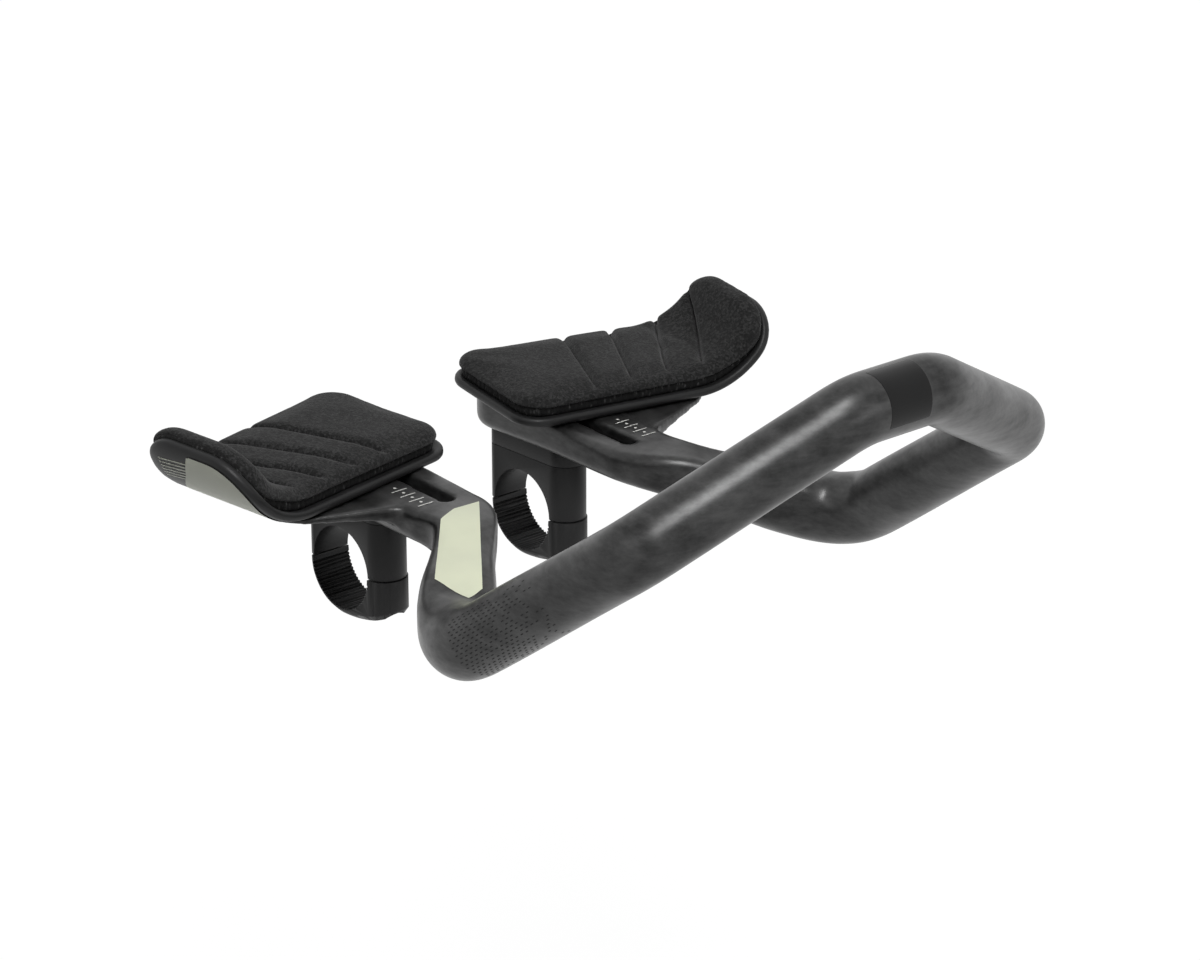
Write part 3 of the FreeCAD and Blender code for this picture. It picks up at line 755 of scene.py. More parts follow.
class Loop:
    """Moulded loop: both platforms with their slots, webs, arms and the tube between them."""

    Spot = tuple[Point, Point]
    Shape = tuple[float, ...]
    Station = tuple[Point, Point, Shape]

    def __init__(self, sizes: LoopSizes, palette: Palette) -> None:
        """Keep sizes and materials.

        Args:
            sizes: Sizes of the loop.
            palette: The materials.
        """
        self.sizes = sizes
        self.palette = palette
        self.tree: BVHTree | None = None

    @staticmethod
    def arc(before: Point, corner: Point, after: Point, radius: float, count: int) -> list["Loop.Spot"]:
        """Places and directions along the round of a corner.

        Args:
            before: Corner before it.
            corner: The corner.
            after: Corner after it.
            radius: Radius of the round.
            count: Steps along it.

        Returns:
            Pairs of place and direction.
        """
        inward = (corner - before) / np.linalg.norm(corner - before)
        outward = (after - corner) / np.linalg.norm(after - corner)
        turn = math.acos(np.clip(inward @ outward, -1, 1))
        side = outward - inward * (inward @ outward)
        side /= np.linalg.norm(side)
        hub = corner - inward * radius * math.tan(turn / 2) + side * radius
        angles = [turn * step / count for step in range(count + 1)]
        return [(hub + radius * (inward * math.sin(a) - side * math.cos(a)),
                 inward * math.cos(a) + side * math.sin(a)) for a in angles]

    @staticmethod
    def section(spot: Point, direction: Point, shape: "Loop.Shape") -> np.ndarray:
        """Rounded section across the loop, level at its top.

        Args:
            spot: Its middle.
            direction: Direction along the loop.
            shape: Half width, half height, and radii of the upper and lower edges.

        Returns:
            Points round the section.
        """
        half_width, half_height, upper, lower = shape
        high = UP - direction * (UP @ direction)
        high /= np.linalg.norm(high)
        wide = np.cross(high, direction)
        turns = np.radians(np.linspace(0, 90, 13))
        quarters = ((1, 1, upper), (-1, 1, upper), (-1, -1, lower), (1, -1, lower))
        rim = []
        for index, (across, up, radius) in enumerate(quarters):
            angle = turns + math.radians(90 * index)
            rim.append(np.stack([across * (half_width - radius) + radius * np.cos(angle),
                                 up * (half_height - radius) + radius * np.sin(angle)], axis=1))
        flat = np.vstack(rim)
        return spot + flat[:, :1] * wide + flat[:, 1:] * high

    def platform(self, y: float, half: float) -> "Loop.Station":
        """Section of the left platform.

        Args:
            y: Place fore and aft.
            half: Half its width there.

        Returns:
            Place, direction and section shape.
        """
        z = self.sizes
        drop, start, end = z.belly
        share = float(np.clip((y - start) / (end - start), 0, 1))
        low = z.platform_low - drop * share
        height = (z.top(y) - low) / 2
        edges = (mix(z.platform_edge, z.arm_edge, share), z.platform_low_edge)
        shape = (half, height, *(min(edge, half * z.edge_limit) for edge in edges))
        return np.array([z.platform_x, y, low + height]), FORWARD, shape

    def stations(self) -> list["Loop.Station"]:
        """Sections of the left half, from the platform's rear end to the middle of the nose.

        Returns:
            Places, directions and section shapes.
        """
        z = self.sizes
        arm, elbow, shoulder, nose = (np.array(p) for p in (z.arm_corner, z.elbow, z.shoulder, z.nose))
        rear = np.array([z.platform_x, z.platform_rear, arm[2]])
        path = (rear, arm, elbow, shoulder, nose, nose * [0, 1, 1])
        arcs = [self.arc(*path[k:k + 3], z.bends[k], z.bend_steps[k]) for k in range(len(z.bends))]
        start = arcs[0][0][0]
        made = []
        for turn in z.rear_turns:
            a = math.radians(turn)
            made.append(self.platform(z.platform_rear - z.platform_half * (1 - math.sin(a)),
                                      z.platform_half * math.cos(a)))
        for y in np.linspace(z.platform_rear - z.platform_half, start[1], 12)[1:-1]:
            made.append(self.platform(float(y), z.platform_half))

        flat = (z.platform_half, z.top(start[1]) - start[2], z.arm_edge, z.platform_low_edge)
        slim = (*z.arm_half, z.arm_edge, z.arm_half[1] * z.arm_low_share)
        tall, upper, lower = z.elbow_shares
        deep = (z.grip, z.grip * tall, z.arm_edge * upper, z.grip * lower)
        grip, late, thin = ((r, r, r * z.round_share, r * z.round_share) for r in (z.grip, z.late, z.thin))
        middle = tuple(mix(a, b, z.grip_taper) for a, b in zip(grip, late))

        def run(spots: Sequence["Loop.Spot"], low: "Loop.Shape", high: "Loop.Shape") -> None:
            """Add sections that change softly from one shape to another."""
            for index, (spot, direction) in enumerate(spots):
                share = index / max(1, len(spots) - 1)
                soft = share * share * (3 - 2 * share)
                made.append((spot, direction, tuple(mix(a, b, soft) for a, b in zip(low, high))))

        def straight(index: int, count: int) -> list["Loop.Spot"]:
            """Places between one round and the next."""
            first, last = arcs[index][-1], arcs[index + 1][0]
            return [(first[0] + (last[0] - first[0]) * k / count, first[1]) for k in range(1, count)]

        run(arcs[0], flat, slim)
        run(straight(0, 8), slim, deep)
        run(arcs[1][:z.elbow_steps], deep, grip)
        run(arcs[1][z.elbow_steps:], grip, middle)
        run(straight(1, 16), middle, late)
        run(arcs[2], late, late)
        run(straight(2, 10), late, thin)
        run(arcs[3], thin, thin)
        return made

    def web(self, sign: float) -> tuple[np.ndarray, Faces]:
        """Web under a tray's front: a thin flange that swells into the platform.

        Args:
            sign: Sign of X.

        Returns:
            Points and faces of a closed form.
        """
        z = self.sizes
        side = z.platform_x + z.platform_half
        tip = z.web_tip - z.web_round
        turns = np.radians(np.arange(10, 91, 10))
        xs = np.concatenate([np.linspace(side - z.web_overlap, tip, 26), tip + z.web_round * np.sin(turns)])
        upper, lower = [], []
        for x in xs:
            share = (x - side) / (z.web_tip - side)
            over = max(0.0, x - tip)
            back = z.web_round - math.sqrt(max(0.0, z.web_round * z.web_round - over * over))
            clear = max(0.0, x - side)
            front = mix(*z.web_front, share) - z.web_fillet[0] * math.exp(-clear / z.web_fillet[1])
            thick = z.web_thick[0] + (z.web_thick[1] - z.web_thick[0]) * clear / (z.web_tip - side)
            thick += z.web_swell[0] * math.exp(-clear / z.web_swell[1])
            for y in np.linspace(front + back, mix(*z.web_rear, share) - back, z.web_columns):
                top = z.top(y) - z.web_clear
                upper.append((sign * x, y, top))
                lower.append((sign * x, y, max(z.platform_low + z.web_lowest, top - thick)))
        rows, columns = len(xs), z.web_columns
        count = rows * columns
        sheet = grid_faces(rows, columns, False)
        faces = [*sheet, *(tuple(count + k for k in reversed(face)) for face in sheet)]
        rim = [*range(columns), *(r * columns + columns - 1 for r in range(1, rows)),
               *((rows - 1) * columns + c for c in range(columns - 2, -1, -1)),
               *(r * columns for r in range(rows - 2, 0, -1))]
        faces.extend((b, a, a + count, b + count) for a, b in zip(rim, rim[1:] + rim[:1]))
        return np.array(upper + lower), faces

    def cut_slot(self, piece: bpy.types.Object, sign: float) -> None:
        """Cut a platform's slot.

        Args:
            piece: The loop.
            sign: Sign of X.
        """
        z = self.sizes
        turns = np.radians(np.linspace(0, 180, 13))
        ends = ((0.0, z.slot_ends[1] - z.slot_half), (math.pi, z.slot_ends[0] + z.slot_half))
        rim = [(z.slot_half * math.cos(a + turn), end + z.slot_half * math.sin(a + turn))
               for turn, end in ends for a in turns]
        count = len(rim)
        points = [(sign * z.slot_x + x, y, height) for height in z.slot_cut for x, y in rim]
        faces = [tuple(reversed(range(count))), tuple(range(count, 2 * count)), *grid_faces(2, count, True)]
        tool = new_piece("slot_tool", np.array(points), faces, self.palette["composite"])
        gap = piece.modifiers.new("slot", "BOOLEAN")
        gap.operation = "DIFFERENCE"
        gap.solver = "EXACT"
        gap.use_self = True
        gap.object = tool
        baked(piece)
        bpy.data.objects.remove(tool)

    def build(self) -> None:
        """Make the loop."""
        left = self.stations()
        mirror = np.array([-1.0, 1.0, 1.0])
        right = [(spot * mirror, direction * mirror * -1, shape) for spot, direction, shape in reversed(left)]
        rings = [self.section(*station) for station in [*left, *right]]
        columns = len(rings[0])
        points = np.vstack(rings)
        faces = grid_faces(len(rings), columns, True)
        faces += [tuple(reversed(range(columns))), tuple(range(len(points) - columns, len(points)))]
        for side in Side:
            more, extra = self.web(side.value)
            faces += [tuple(k + len(points) for k in face) for face in extra]
            points = np.vstack([points, more])
        piece = new_piece("loop_moulding", points, faces, self.palette["composite"])
        with edited(piece.data) as bm:
            bmesh.ops.recalc_face_normals(bm, faces=bm.faces)
        for side in Side:
            self.cut_slot(piece, side.value)
        even_out(piece, self.sizes.voxel, self.sizes.smoothing)
        dress(piece, self.palette["composite"])
        settle(piece, Slot.COMPOSITE, "loop_extension")
        self.tree = BVHTree.FromPolygons([v.co[:] for v in piece.data.vertices],
                                         [tuple(p.vertices) for p in piece.data.polygons])

    def cast(self, start: Vector, inward: Vector, lift: float) -> Point:
        """Point just above the spot where a ray meets the loop.

        Args:
            start: Start of the ray in metres.
            inward: Its direction.
            lift: Height above the surface in millimetres.

        Returns:
            The point in millimetres.
        """
        hit, normal, _, _ = self.tree.ray_cast(start, inward)
        if hit is None:
            raise ValueError(f"no loop seen from {start}")
        return np.array(hit) / MM + np.array(normal) * lift

    def on_top(self, x: float, y: float, lift: float = 0.15) -> Point:
        """Point on the loop's upper side, from its sideways and fore-and-aft place."""
        return self.cast(Vector((x * MM, y * MM, self.sizes.ray_top * MM)), Vector((0, 0, -1)), lift)

    def on_grip(self, sign: float, share: float, angle: float, lift: float = 0.06) -> Point:
        """Point on the tube between elbow and shoulder.

        Args:
            sign: Sign of X.
            share: Place along the straight, from the elbow to the shoulder.
            angle: Angle round the tube in degrees, from the outer side upward.
            lift: Height above the surface.

        Returns:
            The point in millimetres.
        """
        z = self.sizes
        first, last = (np.array(p) * [sign, 1, 1] for p in (z.elbow, z.shoulder))
        along = (last - first) / np.linalg.norm(last - first)
        high = UP - along * (UP @ along)
        high /= np.linalg.norm(high)
        out = np.cross(high, along)
        out *= sign * np.sign(out[0])
        a = math.radians(angle)
        outward = Vector(out * math.cos(a) + high * math.sin(a))
        middle = Vector(first + (last - first) * mix(z.grip_start, 1.0, share))
        return self.cast(middle * MM + outward * (z.ray_room * MM), -outward, lift)

    def on_nose(self, x: float, angle: float, lift: float = 0.07) -> Point:
        """Point on the tube at the nose.

        Args:
            x: Sideways place.
            angle: Angle round the tube in degrees, from the front upward.
            lift: Height above the surface.

        Returns:
            The point in millimetres.
        """
        a = math.radians(angle)
        outward = Vector((0, -math.cos(a), math.sin(a)))
        middle = Vector((x, *self.sizes.nose[1:]))
        return self.cast(middle * MM + outward * (self.sizes.ray_room * MM), -outward, lift)


@dataclass(frozen=True)
class LoopMarks:
    """Fields and marks on the loop, in millimetres and degrees."""

    arm_field: Outline = ((59.2, -67.2), (49.5, -62.8), (38.2, -63.2), (77.4, -111.0), (85.6, -113.5),
                          (86.1, -96.1))
    field_side: Side = Side.RIGHT
    field_step: float = 1.5
    dots: tuple[float, ...] = (-35.2, -40.1, -45.0, -49.9)
    dot_x: float = 54.0
    dot_radius: float = 0.6
    dot_points: int = 12
    line_length: float = 6.8
    line_width: float = 0.5
    line_steps: int = 5
    band: Outline = ((-12.8, -22.0), (5.6, -22.0), (7.1, 92.0), (-12.8, 92.0))
    band_step: float = 3.0
    grip_rows: Triple = (-75.0, 55.0, 6.5)
    grip_run: Triple = (0.0, 0.62, 0.033)
    grip_mark: Pair = (1.5, 0.4)
    grip_seed: int = 7

    def build(self, loop: Loop, palette: Palette) -> None:
        """Lay the fields and marks on the loop.

        Args:
            loop: The loop.
            palette: The materials.
        """
        Patch(self.band, self.band_step, loop.on_nose).build("nose_band", palette["gloss"], Slot.COMPOSITE)
        for side in Side:
            def on_top(x: float, y: float) -> Point:
                """Point on this side's platform or arm."""
                return loop.on_top(side.value * x, y)

            if side is self.field_side:
                Patch(self.arm_field, self.field_step, on_top).build("arm_field", palette["field"],
                                                                     Slot.COMPOSITE)
            marks = new_piece(f"{side.prefix}_scale_marks", *self.scale(on_top), palette["mark"])
            settle(marks, Slot.COMPOSITE)
            marks = new_piece(f"{side.prefix}_grip_marks", *self.grip(loop, side), palette["grip"])
            settle(marks, Slot.COMPOSITE)

    def scale(self, on_top: Callable[[float, float], Point]) -> tuple[np.ndarray, Faces]:
        """Dots and cross lines of the scale beside a slot.

        Args:
            on_top: Gives the point on the platform.

        Returns:
            Points and faces.
        """
        points: list[Point] = []
        faces: Faces = []
        half, width, radius = self.line_length / 2, self.line_width / 2, self.dot_radius
        turns = np.linspace(0, 2 * math.pi, self.dot_points, endpoint=False)
        steps = np.linspace(-half, half, self.line_steps + 1)
        for y in self.dots:
            faces.append(tuple(range(len(points), len(points) + self.dot_points)))
            points.extend(on_top(self.dot_x + radius * math.cos(a), y + radius * math.sin(a)) for a in turns)
            middle = y - (self.dots[0] - self.dots[1]) / 2
            faces.extend(ribbon_faces(len(points), self.line_steps))
            points.extend(on_top(self.dot_x + across, middle + w)
                          for across in steps for w in (-width, width))
        return np.array(points), faces

    def grip(self, loop: Loop, side: Side) -> tuple[np.ndarray, Faces]:
        """Rows of short dark grip marks on the tube past the elbow, fewer and fewer along it.

        Args:
            loop: The loop.
            side: Which side it is.

        Returns:
            Points and faces.
        """
        dice = np.random.default_rng(self.grip_seed)
        low, high, turn = self.grip_rows
        start, end, step = self.grip_run
        length = float(np.linalg.norm(np.array(loop.sizes.shoulder) - np.array(loop.sizes.elbow)))
        along = self.grip_mark[0] / length / 2
        round_it = math.degrees(self.grip_mark[1] / loop.sizes.grip / 2)
        corners = [(-along, -round_it), (along, -round_it), (along, round_it), (-along, round_it)]
        points: list[Point] = []
        faces: Faces = []
        for row, angle in enumerate(np.arange(low, high, turn)):
            for share in np.arange(start + (row % 2) * step / 2, end, step):
                if dice.random() < (share / end) ** 2:
                    continue
                faces.append(tuple(range(len(points), len(points) + 4)))
                points.extend(loop.on_grip(side.value, share + a, angle + b) for a, b in corners)
        return np.array(points), faces


# Arm rests


@dataclass(frozen=True)
class RestSizes:
    """Sizes of an arm rest in millimetres, in its own unrolled axes: out, back and up."""

    level: float = LoopSizes.top_level
    pitch: float = LoopSizes.top_pitch
    toe_in: float = 10.0
    wing_start: float = 98.9
    wing_radius: float = 37.0
    tray_corners: tuple[Triple, ...] = (
        (21.1, -22.0, 12.0), (148.9, -22.5, 19.0), (148.9, 25.5, 13.0), (95.0, 33.5, 60.0),
        (20.1, 40.0, 12.0))
    tray_upper: Outline = (
        (0.0, 2.5), (0.12, 3.2), (0.5, 3.75), (1.2, 4.0), (2.0, 3.95), (2.8, 3.6), (4.5, 3.4))
    tray_lower: Outline = ((0.0, 2.2), (0.1, 1.5), (0.5, 0.9), (1.6, 0.5), (3.5, 0.2), (5.5, 0.0))
    pad_corners: tuple[Triple, ...] = (
        (22.8, -19.9, 11.5), (151.0, -20.9, 19.0), (151.0, 26.6, 13.0), (95.0, 34.2, 60.0),
        (21.8, 39.9, 11.5))
    mesh_low: float = 3.6
    mesh_high: float = 8.4
    mesh_inset: float = 1.3
    pad_low: float = 7.2
    pad_high: float = 11.6
    pad_edge: float = 5.0
    pad_side: float = 0.8
    pad_step: float = 2.2
    tuck: Triple = (112.0, 138.0, 2.9)
    grooves: tuple[Outline, ...] = (
        ((54.6, -18.5), (60.9, 2.0), (71.4, 36.0)), ((70.9, -18.5), (79.6, 4.0), (92.2, 34.0)),
        ((87.4, -18.0), (97.2, 3.5), (116.5, 31.0)), ((104.4, -16.5), (119.0, 3.0), (140.5, 28.0)))
    groove_width: float = 1.1
    groove_depth: float = 2.2
    groove_points: int = 60
    groove_fade: int = 9
    shoulder_width: float = 2.1
    shoulder_depth: float = 0.9
    finer_within: Pair = (3.0, 1.6)
    fine: float = 0.8
    smoothing: int = 5
    around: int = 240
    swell: float = 1.2
    swell_frames: int = 20
    cloth_pressure: float = 4.0
    cloth_stiffness: float = 40.0
    cloth_quality: int = 6
    held_height: float = 1.0
    sewn_above: float = 0.6
    sewn_fade: float = 1.5
    weld: float = 0.02
    mark_lift: float = -0.07
    field_inset: float = 2.6
    field_limits: Pair = (112.0, 5.0)
    field_rear: Outline = ((145.6, 5.9), (136.0, 9.75), (119.0, 20.0), (112.0, 24.5))
    field_step: float = 2.0
    stripes: int = 6
    stripe_rear: tuple[Pair, Pair] = ((140.75, 21.0), (-2.0, 0.25))
    stripe_front: tuple[Pair, Pair] = ((142.25, 7.25), (-1.85, 0.65))
    stripe_half: float = 0.35
    stripe_steps: int = 9


class ArmRest:
    """Tray with its raised wing, open mesh and pad on one side."""

    def __init__(self, sizes: RestSizes, side: Side, palette: Palette) -> None:
        """Keep sizes, side and materials.

        Args:
            sizes: Sizes of the rest.
            side: Which side it is.
            palette: The materials.
        """
        self.sizes = sizes
        self.side = side
        self.palette = palette
        pitch, toe = (math.radians(a) for a in (sizes.pitch, sizes.toe_in))
        lean = np.array(Matrix.Rotation(pitch, 3, "X"))
        self.turn = lean @ np.array(Matrix.Rotation(-toe, 3, "Z"))
        self.tray_rim = evenly(rounded_outline(sizes.tray_corners), sizes.around)
        self.pad_rim = evenly(rounded_outline(sizes.pad_corners), sizes.around)

    def place(self, flat: np.ndarray) -> np.ndarray:
        """Bend unrolled points round the wing and set them in the part's frame.

        Args:
            flat: Points as out, back and up.

        Returns:
            Points in millimetres.
        """
        z = self.sizes
        out, back, up = np.asarray(flat, float).reshape(-1, 3).T
        turn = np.clip((out - z.wing_start) / z.wing_radius, 0, None)
        reach = z.wing_radius - up
        bent = turn > 0
        u = np.where(bent, z.wing_start + reach * np.sin(turn), out)
        h = np.where(bent, z.wing_radius - reach * np.cos(turn), up)
        points = np.stack([u, back, h], axis=1) @ self.turn.T + [0, 0, z.level]
        return points * [self.side.value, 1, 1]

    def unrolled(self, piece: bpy.types.Object) -> np.ndarray:
        """Unrolled coordinates of a piece's vertices.

        Args:
            piece: The piece.

        Returns:
            Points as out, back and up.
        """
        z = self.sizes
        points = np.array([v.co for v in piece.data.vertices]) / MM
        u, back, h = ((points * [self.side.value, 1, 1] - [0, 0, z.level]) @ self.turn).T
        across, down = u - z.wing_start, z.wing_radius - h
        bent = across > 0
        out = np.where(bent, z.wing_start + z.wing_radius * np.arctan2(across, down), u)
        up = np.where(bent, z.wing_radius - np.hypot(across, down), h)
        return np.stack([out, back, up], axis=1)

    def move(self, piece: bpy.types.Object, flat: np.ndarray) -> None:
        """Move a piece's vertices to unrolled points."""
        piece.data.vertices.foreach_set("co", (self.place(flat) * MM).ravel())
        piece.data.update()

    def shell(self, name: str, rim: np.ndarray, upper: Outline, lower: Outline, material: str,
              step: float = 2.5) -> bpy.types.Object:
        """Closed layer with a shaped rim.

        Args:
            name: Name of the object, after its side.
            rim: Even points of its outline.
            upper: Distance from the rim and height, for the rings of the upper face's rim.
            lower: The same for the lower face.
            material: Short name of the material.
            step: Distance between points inside the shaped rim.

        Returns:
            The object.
        """
        layers = [(inset(rim, distance), height) for distance, height in [*reversed(lower), *upper]]
        flat = np.vstack([np.column_stack([spots, np.full(len(spots), height)]) for spots, height in layers])
        faces = grid_faces(len(layers), len(rim), True)
        for spots, height in (layers[0], layers[-1]):
            fill = Patch(spots, step, lambda out, back: np.array([out, back, height]))
            faces.extend(tuple(k + len(flat) for k in face) for face in fill.faces)
            flat = np.vstack([flat, fill.points])
        piece = new_piece(f"{self.side.prefix}_{name}", self.place(flat), faces, self.palette[material])
        with edited(piece.data) as bm:
            bmesh.ops.remove_doubles(bm, verts=bm.verts, dist=self.sizes.weld * MM)
            bmesh.ops.recalc_face_normals(bm, faces=bm.faces)
        shade_smooth(piece.data)
        return piece

    def tray(self) -> None:
        """Make the tray: a shell with a rolled rim."""
        piece = self.shell("tray_shell", self.tray_rim, self.sizes.tray_upper, self.sizes.tray_lower, "tray")
        settle(piece, Slot.TRAY, f"{self.side.prefix}_arm_tray")

    def side_mesh(self) -> None:
        """Make the open mesh that shows between tray and pad."""
        low, high = self.sizes.mesh_low, self.sizes.mesh_high
        upper = ((0.0, low + 2.2), (0.3, high - 0.4), (0.9, high), (2.5, high))
        lower = ((0.0, low + 1.6), (0.2, low + 0.5), (0.8, low), (2.5, low))
        piece = self.shell("side_mesh", inset(self.pad_rim, self.sizes.mesh_inset), upper, lower, "mesh")
        settle(piece, Slot.HOOK, f"{self.side.prefix}_pad_strips")

    def pad(self) -> None:
        """Make the pad: crowned by a cloth simulation, then sewn along its channels."""
        z = self.sizes
        low = z.pad_low
        rise = z.pad_high - low - z.pad_side
        upper = [(z.pad_edge * (1 - math.cos(a)), low + z.pad_side + rise * math.sin(a))
                 for a in np.radians(np.linspace(0, 90, 9))]
        lower = ((0.05, low + 0.5), (0.3, low + 0.1), (0.9, low), (2.0, low + 0.2))
        piece = self.shell("pad", self.pad_rim, upper, lower, "knit", z.pad_step)
        self.tuck(piece)
        self.swell(piece)
        refine = piece.modifiers.new("refine", "SUBSURF")
        refine.levels = 1
        baked(piece)
        even_out(piece, z.fine, z.smoothing)
        self.sew(piece)
        settle(piece, Slot.FABRIC, f"{self.side.prefix}_arm_pad")

    def tuck(self, piece: bpy.types.Object) -> None:
        """Bring the pad's edge down to the tray along the wing, where no mesh shows.

        Args:
            piece: The pad.
        """
        z = self.sizes
        start, end, drop = z.tuck
        flat = self.unrolled(piece)
        share = np.clip((flat[:, 0] - start) / (end - start), 0, 1)
        low = np.clip((z.pad_high - flat[:, 2]) / (z.pad_high - z.pad_low), 0, 1)
        flat[:, 2] -= drop * share * share * (3 - 2 * share) * low
        self.move(piece, flat)

    def swell(self, piece: bpy.types.Object) -> None:
        """Blow the pad up a little as cloth, held at its underside.

        Args:
            piece: The pad.
        """
        z = self.sizes
        before = np.array([v.co for v in piece.data.vertices])
        held = piece.vertex_groups.new(name="held")
        low = self.unrolled(piece)[:, 2] < z.pad_low + z.held_height
        held.add([int(k) for k in np.flatnonzero(low)], 1.0, "ADD")
        cloth = piece.modifiers.new("cloth", "CLOTH").settings
        cloth.use_pressure = True
        cloth.uniform_pressure_force = z.cloth_pressure
        cloth.effector_weights.gravity = 0.0
        cloth.vertex_group_mass = "held"
        cloth.tension_stiffness = z.cloth_stiffness
        cloth.compression_stiffness = z.cloth_stiffness
        cloth.quality = z.cloth_quality
        scene = bpy.context.scene
        for number in range(1, z.swell_frames + 1):
            scene.frame_set(number)
        graph = bpy.context.evaluated_depsgraph_get()
        move = np.array([v.co for v in piece.evaluated_get(graph).data.vertices]) - before
        piece.modifiers.clear()
        scene.frame_set(1)
        size = np.linalg.norm(move, axis=1)[:, None]
        share = np.minimum(1.0, z.swell * MM / np.maximum(size, 1e-9))
        piece.data.vertices.foreach_set("co", (before + move * share).ravel())
        piece.data.update()
        LOG.info("%s: cloth moved up to %.2f mm, kept %.2f mm", piece.name, size.max() / MM,
                 (size * share).max() / MM)

    def from_grooves(self, flat: np.ndarray) -> tuple[np.ndarray, np.ndarray]:
        """Distance of unrolled points from the sewn channels.

        Args:
            flat: Points as out, back and up.

        Returns:
            Distance from the nearest channel, and share of that channel's depth there.
        """
        z = self.sizes
        nearest, deep = np.full(len(flat), np.inf), np.zeros(len(flat))
        for path in z.grooves:
            bends = np.array(path)
            backs = np.linspace(bends[0, 1], bends[-1, 1], z.groove_points)
            bow = np.polyfit(bends[:, 1], bends[:, 0], 2)
            line = np.stack([np.polyval(bow, backs), backs], axis=1)
            gaps = np.linalg.norm(flat[:, None, :2] - line[None], axis=2)
            best = gaps.argmin(axis=1)
            slant = np.sqrt(1 + np.polyval(np.polyder(bow), flat[:, 1]) ** 2)
            away = np.abs(flat[:, 0] - np.polyval(bow, flat[:, 1])) / slant
            away = np.where((best > 0) & (best < len(line) - 1), away, gaps.min(axis=1))
            closer = away < nearest
            nearest = np.where(closer, away, nearest)
            deep = np.where(closer, np.clip(best / z.groove_fade, 0, 1), deep)
        return nearest, deep

    def sew(self, piece: bpy.types.Object) -> None:
        """Press the sewn channels into the pad, on a mesh that is finer along them.

        Args:
            piece: The pad.
        """
        z = self.sizes
        for reach in z.finer_within:
            flat = self.unrolled(piece)
            near = (self.from_grooves(flat)[0] < reach) & (flat[:, 2] > z.pad_low + z.sewn_above)
            with edited(piece.data) as bm:
                bm.verts.ensure_lookup_table()
                edges = [edge for edge in bm.edges if all(near[v.index] for v in edge.verts)]
                bmesh.ops.subdivide_edges(bm, edges=edges, cuts=1, use_grid_fill=True)
        flat = self.unrolled(piece)
        away, deep = self.from_grooves(flat)
        sink = z.groove_depth * np.exp(-(away / z.groove_width) ** 2)
        sink += z.shoulder_depth * np.exp(-(away / z.shoulder_width) ** 2)
        flat[:, 2] -= sink * deep * np.clip((flat[:, 2] - z.pad_low - z.pad_side) / z.sewn_fade, 0, 1)
        shade_smooth(piece.data)
        self.move(piece, flat)

    def wing_marks(self) -> None:
        """Lay the pale field and the stripes on the wing's outer face, in the field's colour painted brighter
        for that face's dimmer light.
        """
        z = self.sizes
        # the wing's material is the pale field painted brighter, as painted light for its dimmer face
        prefix, material = self.side.prefix, self.palette["wing"]

        def outside(out: float, back: float) -> Point:
            """Point on the wing's outer face."""
            return self.place(np.array([[out, back, z.mark_lift]]))[0]

        inner, rear = z.field_limits
        front = [tuple(spot) for spot in inset(self.tray_rim, z.field_inset)
                 if spot[0] > inner and spot[1] < rear]
        field = Patch([*front, *z.field_rear], z.field_step, outside)
        field.build(f"{prefix}_wing_field", material, Slot.TRAY)
        points: list[Point] = []
        faces: Faces = []
        for index in range(z.stripes):
            ends = [np.array(place) + np.array(step) * index
                    for place, step in (z.stripe_rear, z.stripe_front)]
            faces.extend(ribbon_faces(len(points), z.stripe_steps))
            for share in np.linspace(0, 1, z.stripe_steps + 1):
                out, back = mix(*ends, share)
                points.extend(outside(out + w, back) for w in (-z.stripe_half, z.stripe_half))
        settle(new_piece(f"{prefix}_wing_stripes", np.array(points), faces, material), Slot.TRAY)

    def build(self) -> None:
        """Make all pieces of the rest."""
        self.tray()
        self.side_mesh()
        self.pad()
        self.wing_marks()


# Clamps


@dataclass(frozen=True)
class Clamp:
    """Bar clamp, spacer and fasteners of one side, from the frame's own forms with softened edges."""

    side: Side
    palette: Palette
    softened: tuple[tuple[str, float], ...] = (
        ("clamp_upper", 0.5), ("riser_spacer", 0.35), ("clamp_cap", 0.3))
    fasteners: tuple[str, ...] = ("cap_bolt", "cap_washer", "tray_bolts", "tray_washers")
    flat_angle: float = 1.0
    edge_angle: float = 40.0
    sharp_angle: float = 35.0

    def soften(self, node: str, width: float) -> None:
        """Stand a copy with softened edges in for a node.

        Args:
            node: Name of the node.
            width: Width of the softened edges in millimetres.
        """
        piece = bpy.data.objects.new(f"{node}_soft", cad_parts[node].data.copy())
        bpy.context.scene.collection.objects.link(piece)
        with edited(piece.data) as bm:
            bmesh.ops.remove_doubles(bm, verts=bm.verts, dist=1e-6)
            bmesh.ops.dissolve_limit(bm, angle_limit=math.radians(self.flat_angle), verts=bm.verts,
                                     edges=bm.edges)
        edge = piece.modifiers.new("edge", "BEVEL")
        edge.width = width * MM
        edge.segments = 2
        edge.limit_method = "ANGLE"
        edge.angle_limit = math.radians(self.edge_angle)
        baked(piece)
        dress(piece, self.palette["alloy"])
        shade_smooth(piece.data)
        piece.data.set_sharp_from_angle(angle=math.radians(self.sharp_angle))
        settle(piece, Slot.ALLOY, node)

    def build(self) -> None:
        """Make the clamp's pieces."""
        for name, width in self.softened:
            self.soften(f"{self.side.prefix}_{name}", width)
        for name in self.fasteners:
            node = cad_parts[f"{self.side.prefix}_{name}"]
            dress(node, self.palette["steel"])
            LOG.info("%s: material", node.name)


# Studio


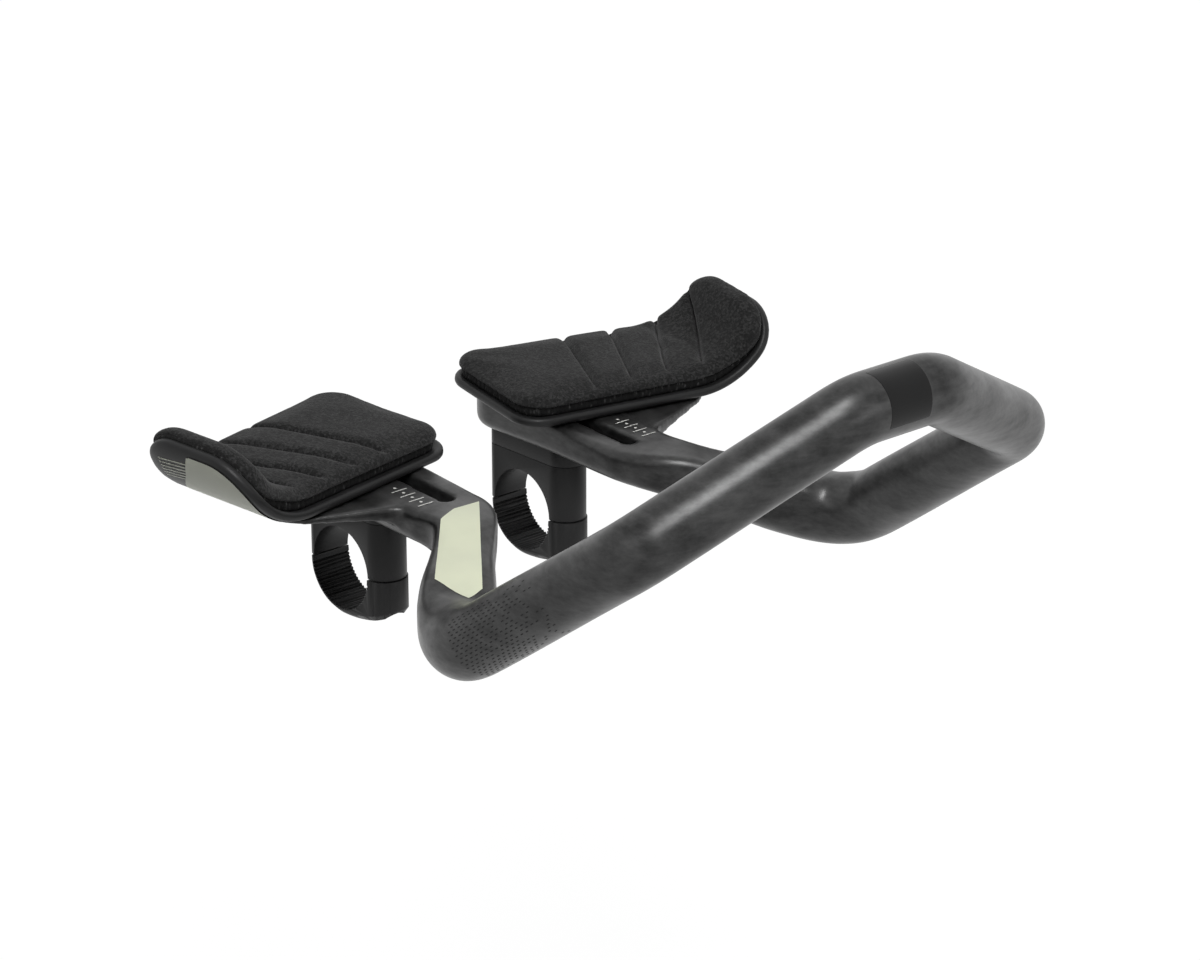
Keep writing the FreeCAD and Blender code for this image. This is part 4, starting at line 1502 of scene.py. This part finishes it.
@dataclass(frozen=True)
class Lamp:
    """Soft box: its name, place, aim and size in metres, and its power in watts."""

    name: str
    place: Triple
    aim: Triple
    power: float
    size: Pair

    def build(self) -> None:
        """Make the lamp."""
        lamp = bpy.data.lights.new(self.name, "AREA")
        lamp.shape = "RECTANGLE"
        lamp.size, lamp.size_y = self.size
        lamp.energy = self.power
        item = bpy.data.objects.new(self.name, lamp)
        item.location = self.place
        item.rotation_euler = (Vector(self.aim) - Vector(self.place)).to_track_quat("-Z", "Y").to_euler()
        bpy.context.scene.collection.objects.link(item)


@dataclass(frozen=True)
class Studio:
    """Floor, lights and camera, in metres and degrees."""

    floor_level: float = -0.3
    floor_half: float = 6.0
    camera_place: Triple = (-0.8321, -1.0076, 0.5181)
    azimuth: float = -42.05
    elevation: float = 20.84
    lens: float = 111.49
    ambient: float = 0.38
    bright_from: Triple = (0.4, 0.8, -0.45)
    surround_stops: tuple[Pair, ...] = ((0.25, 0.03), (0.5, 0.3), (0.75, 1.0))
    lamps: tuple[Lamp, ...] = (
        Lamp("top", (-0.38, -0.68, 1.08), (0.0, -0.2, 0.1), 13.0, (0.28, 0.75)),
        Lamp("key", (-1.1, -0.35, 0.8), (0.0, -0.1, 0.04), 1.4, (1.0, 0.8)),
        Lamp("front", (0.3, -1.4, 0.4), (0.0, -0.15, 0.05), 2.0, (0.8, 0.4)))

    def floor(self, palette: Palette) -> None:
        """Make the floor.

        Args:
            palette: The materials.
        """
        corners = [(x, y, 0.0) for x, y in ((-1, -1), (1, -1), (1, 1), (-1, 1))]
        points = np.array(corners) * (self.floor_half / MM) + [0, 0, self.floor_level / MM]
        floor = new_piece("floor", points, [(0, 1, 2, 3)], palette["floor"])

    def surround(self) -> None:
        """Make the surround: white where it is seen, and brighter from behind where it lights the object."""
        world = bpy.data.worlds.new("studio")
        world.use_nodes = True
        s = Nodes(world.node_tree, "Generated")
        facing = s.add("ShaderNodeVectorMath", {0: s.coords, 1: self.bright_from}, operation="DOT_PRODUCT")
        level = s.add("ShaderNodeMapRange", {"Value": facing.outputs["Value"], "From Min": -1.0}).outputs[0]
        levels = [(place, grey(bright)) for place, bright in self.surround_stops]
        light = s.add("ShaderNodeBackground", {"Color": s.ramp(level, levels), "Strength": self.ambient})
        seen = s.add("ShaderNodeBackground", {"Color": (*grey(1.0), 1.0)})
        s.backdrop(light.outputs[0], seen.outputs[0], "World Output")
        bpy.context.scene.world = world

    def camera(self) -> None:
        """Make the camera."""
        lens = bpy.data.cameras.new("camera")
        lens.lens = self.lens
        lens.sensor_width = 36.0
        lens.clip_end = 50.0
        item = bpy.data.objects.new("camera", lens)
        turn, rise = math.radians(self.azimuth), math.radians(self.elevation)
        back = Vector((math.sin(turn) * math.cos(rise), -math.cos(turn) * math.cos(rise), math.sin(rise)))
        right = Vector((math.cos(turn), math.sin(turn), 0.0))
        item.matrix_world = Matrix((right, back.cross(right), back)).transposed().to_4x4()
        item.location = self.camera_place
        bpy.context.scene.collection.objects.link(item)
        bpy.context.scene.camera = item

    def build(self, palette: Palette) -> None:
        """Make the studio.

        Args:
            palette: The materials.
        """
        self.floor(palette)
        self.surround()
        for lamp in self.lamps:
            lamp.build()
        self.camera()
        bpy.context.scene.view_settings.view_transform = "Standard"
        LOG.info("studio ready")


def main() -> None:
    """Build the scene in order."""
    logging.basicConfig(level=logging.INFO, format="%(message)s")
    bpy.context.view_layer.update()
    palette = Palette()
    loop = Loop(LoopSizes(), palette)
    loop.build()
    LoopMarks().build(loop, palette)
    for side in Side:
        Clamp(side, palette).build()
        ArmRest(RestSizes(), side, palette).build()
    Studio().build(palette)


if __name__ == "__main__":
    main()
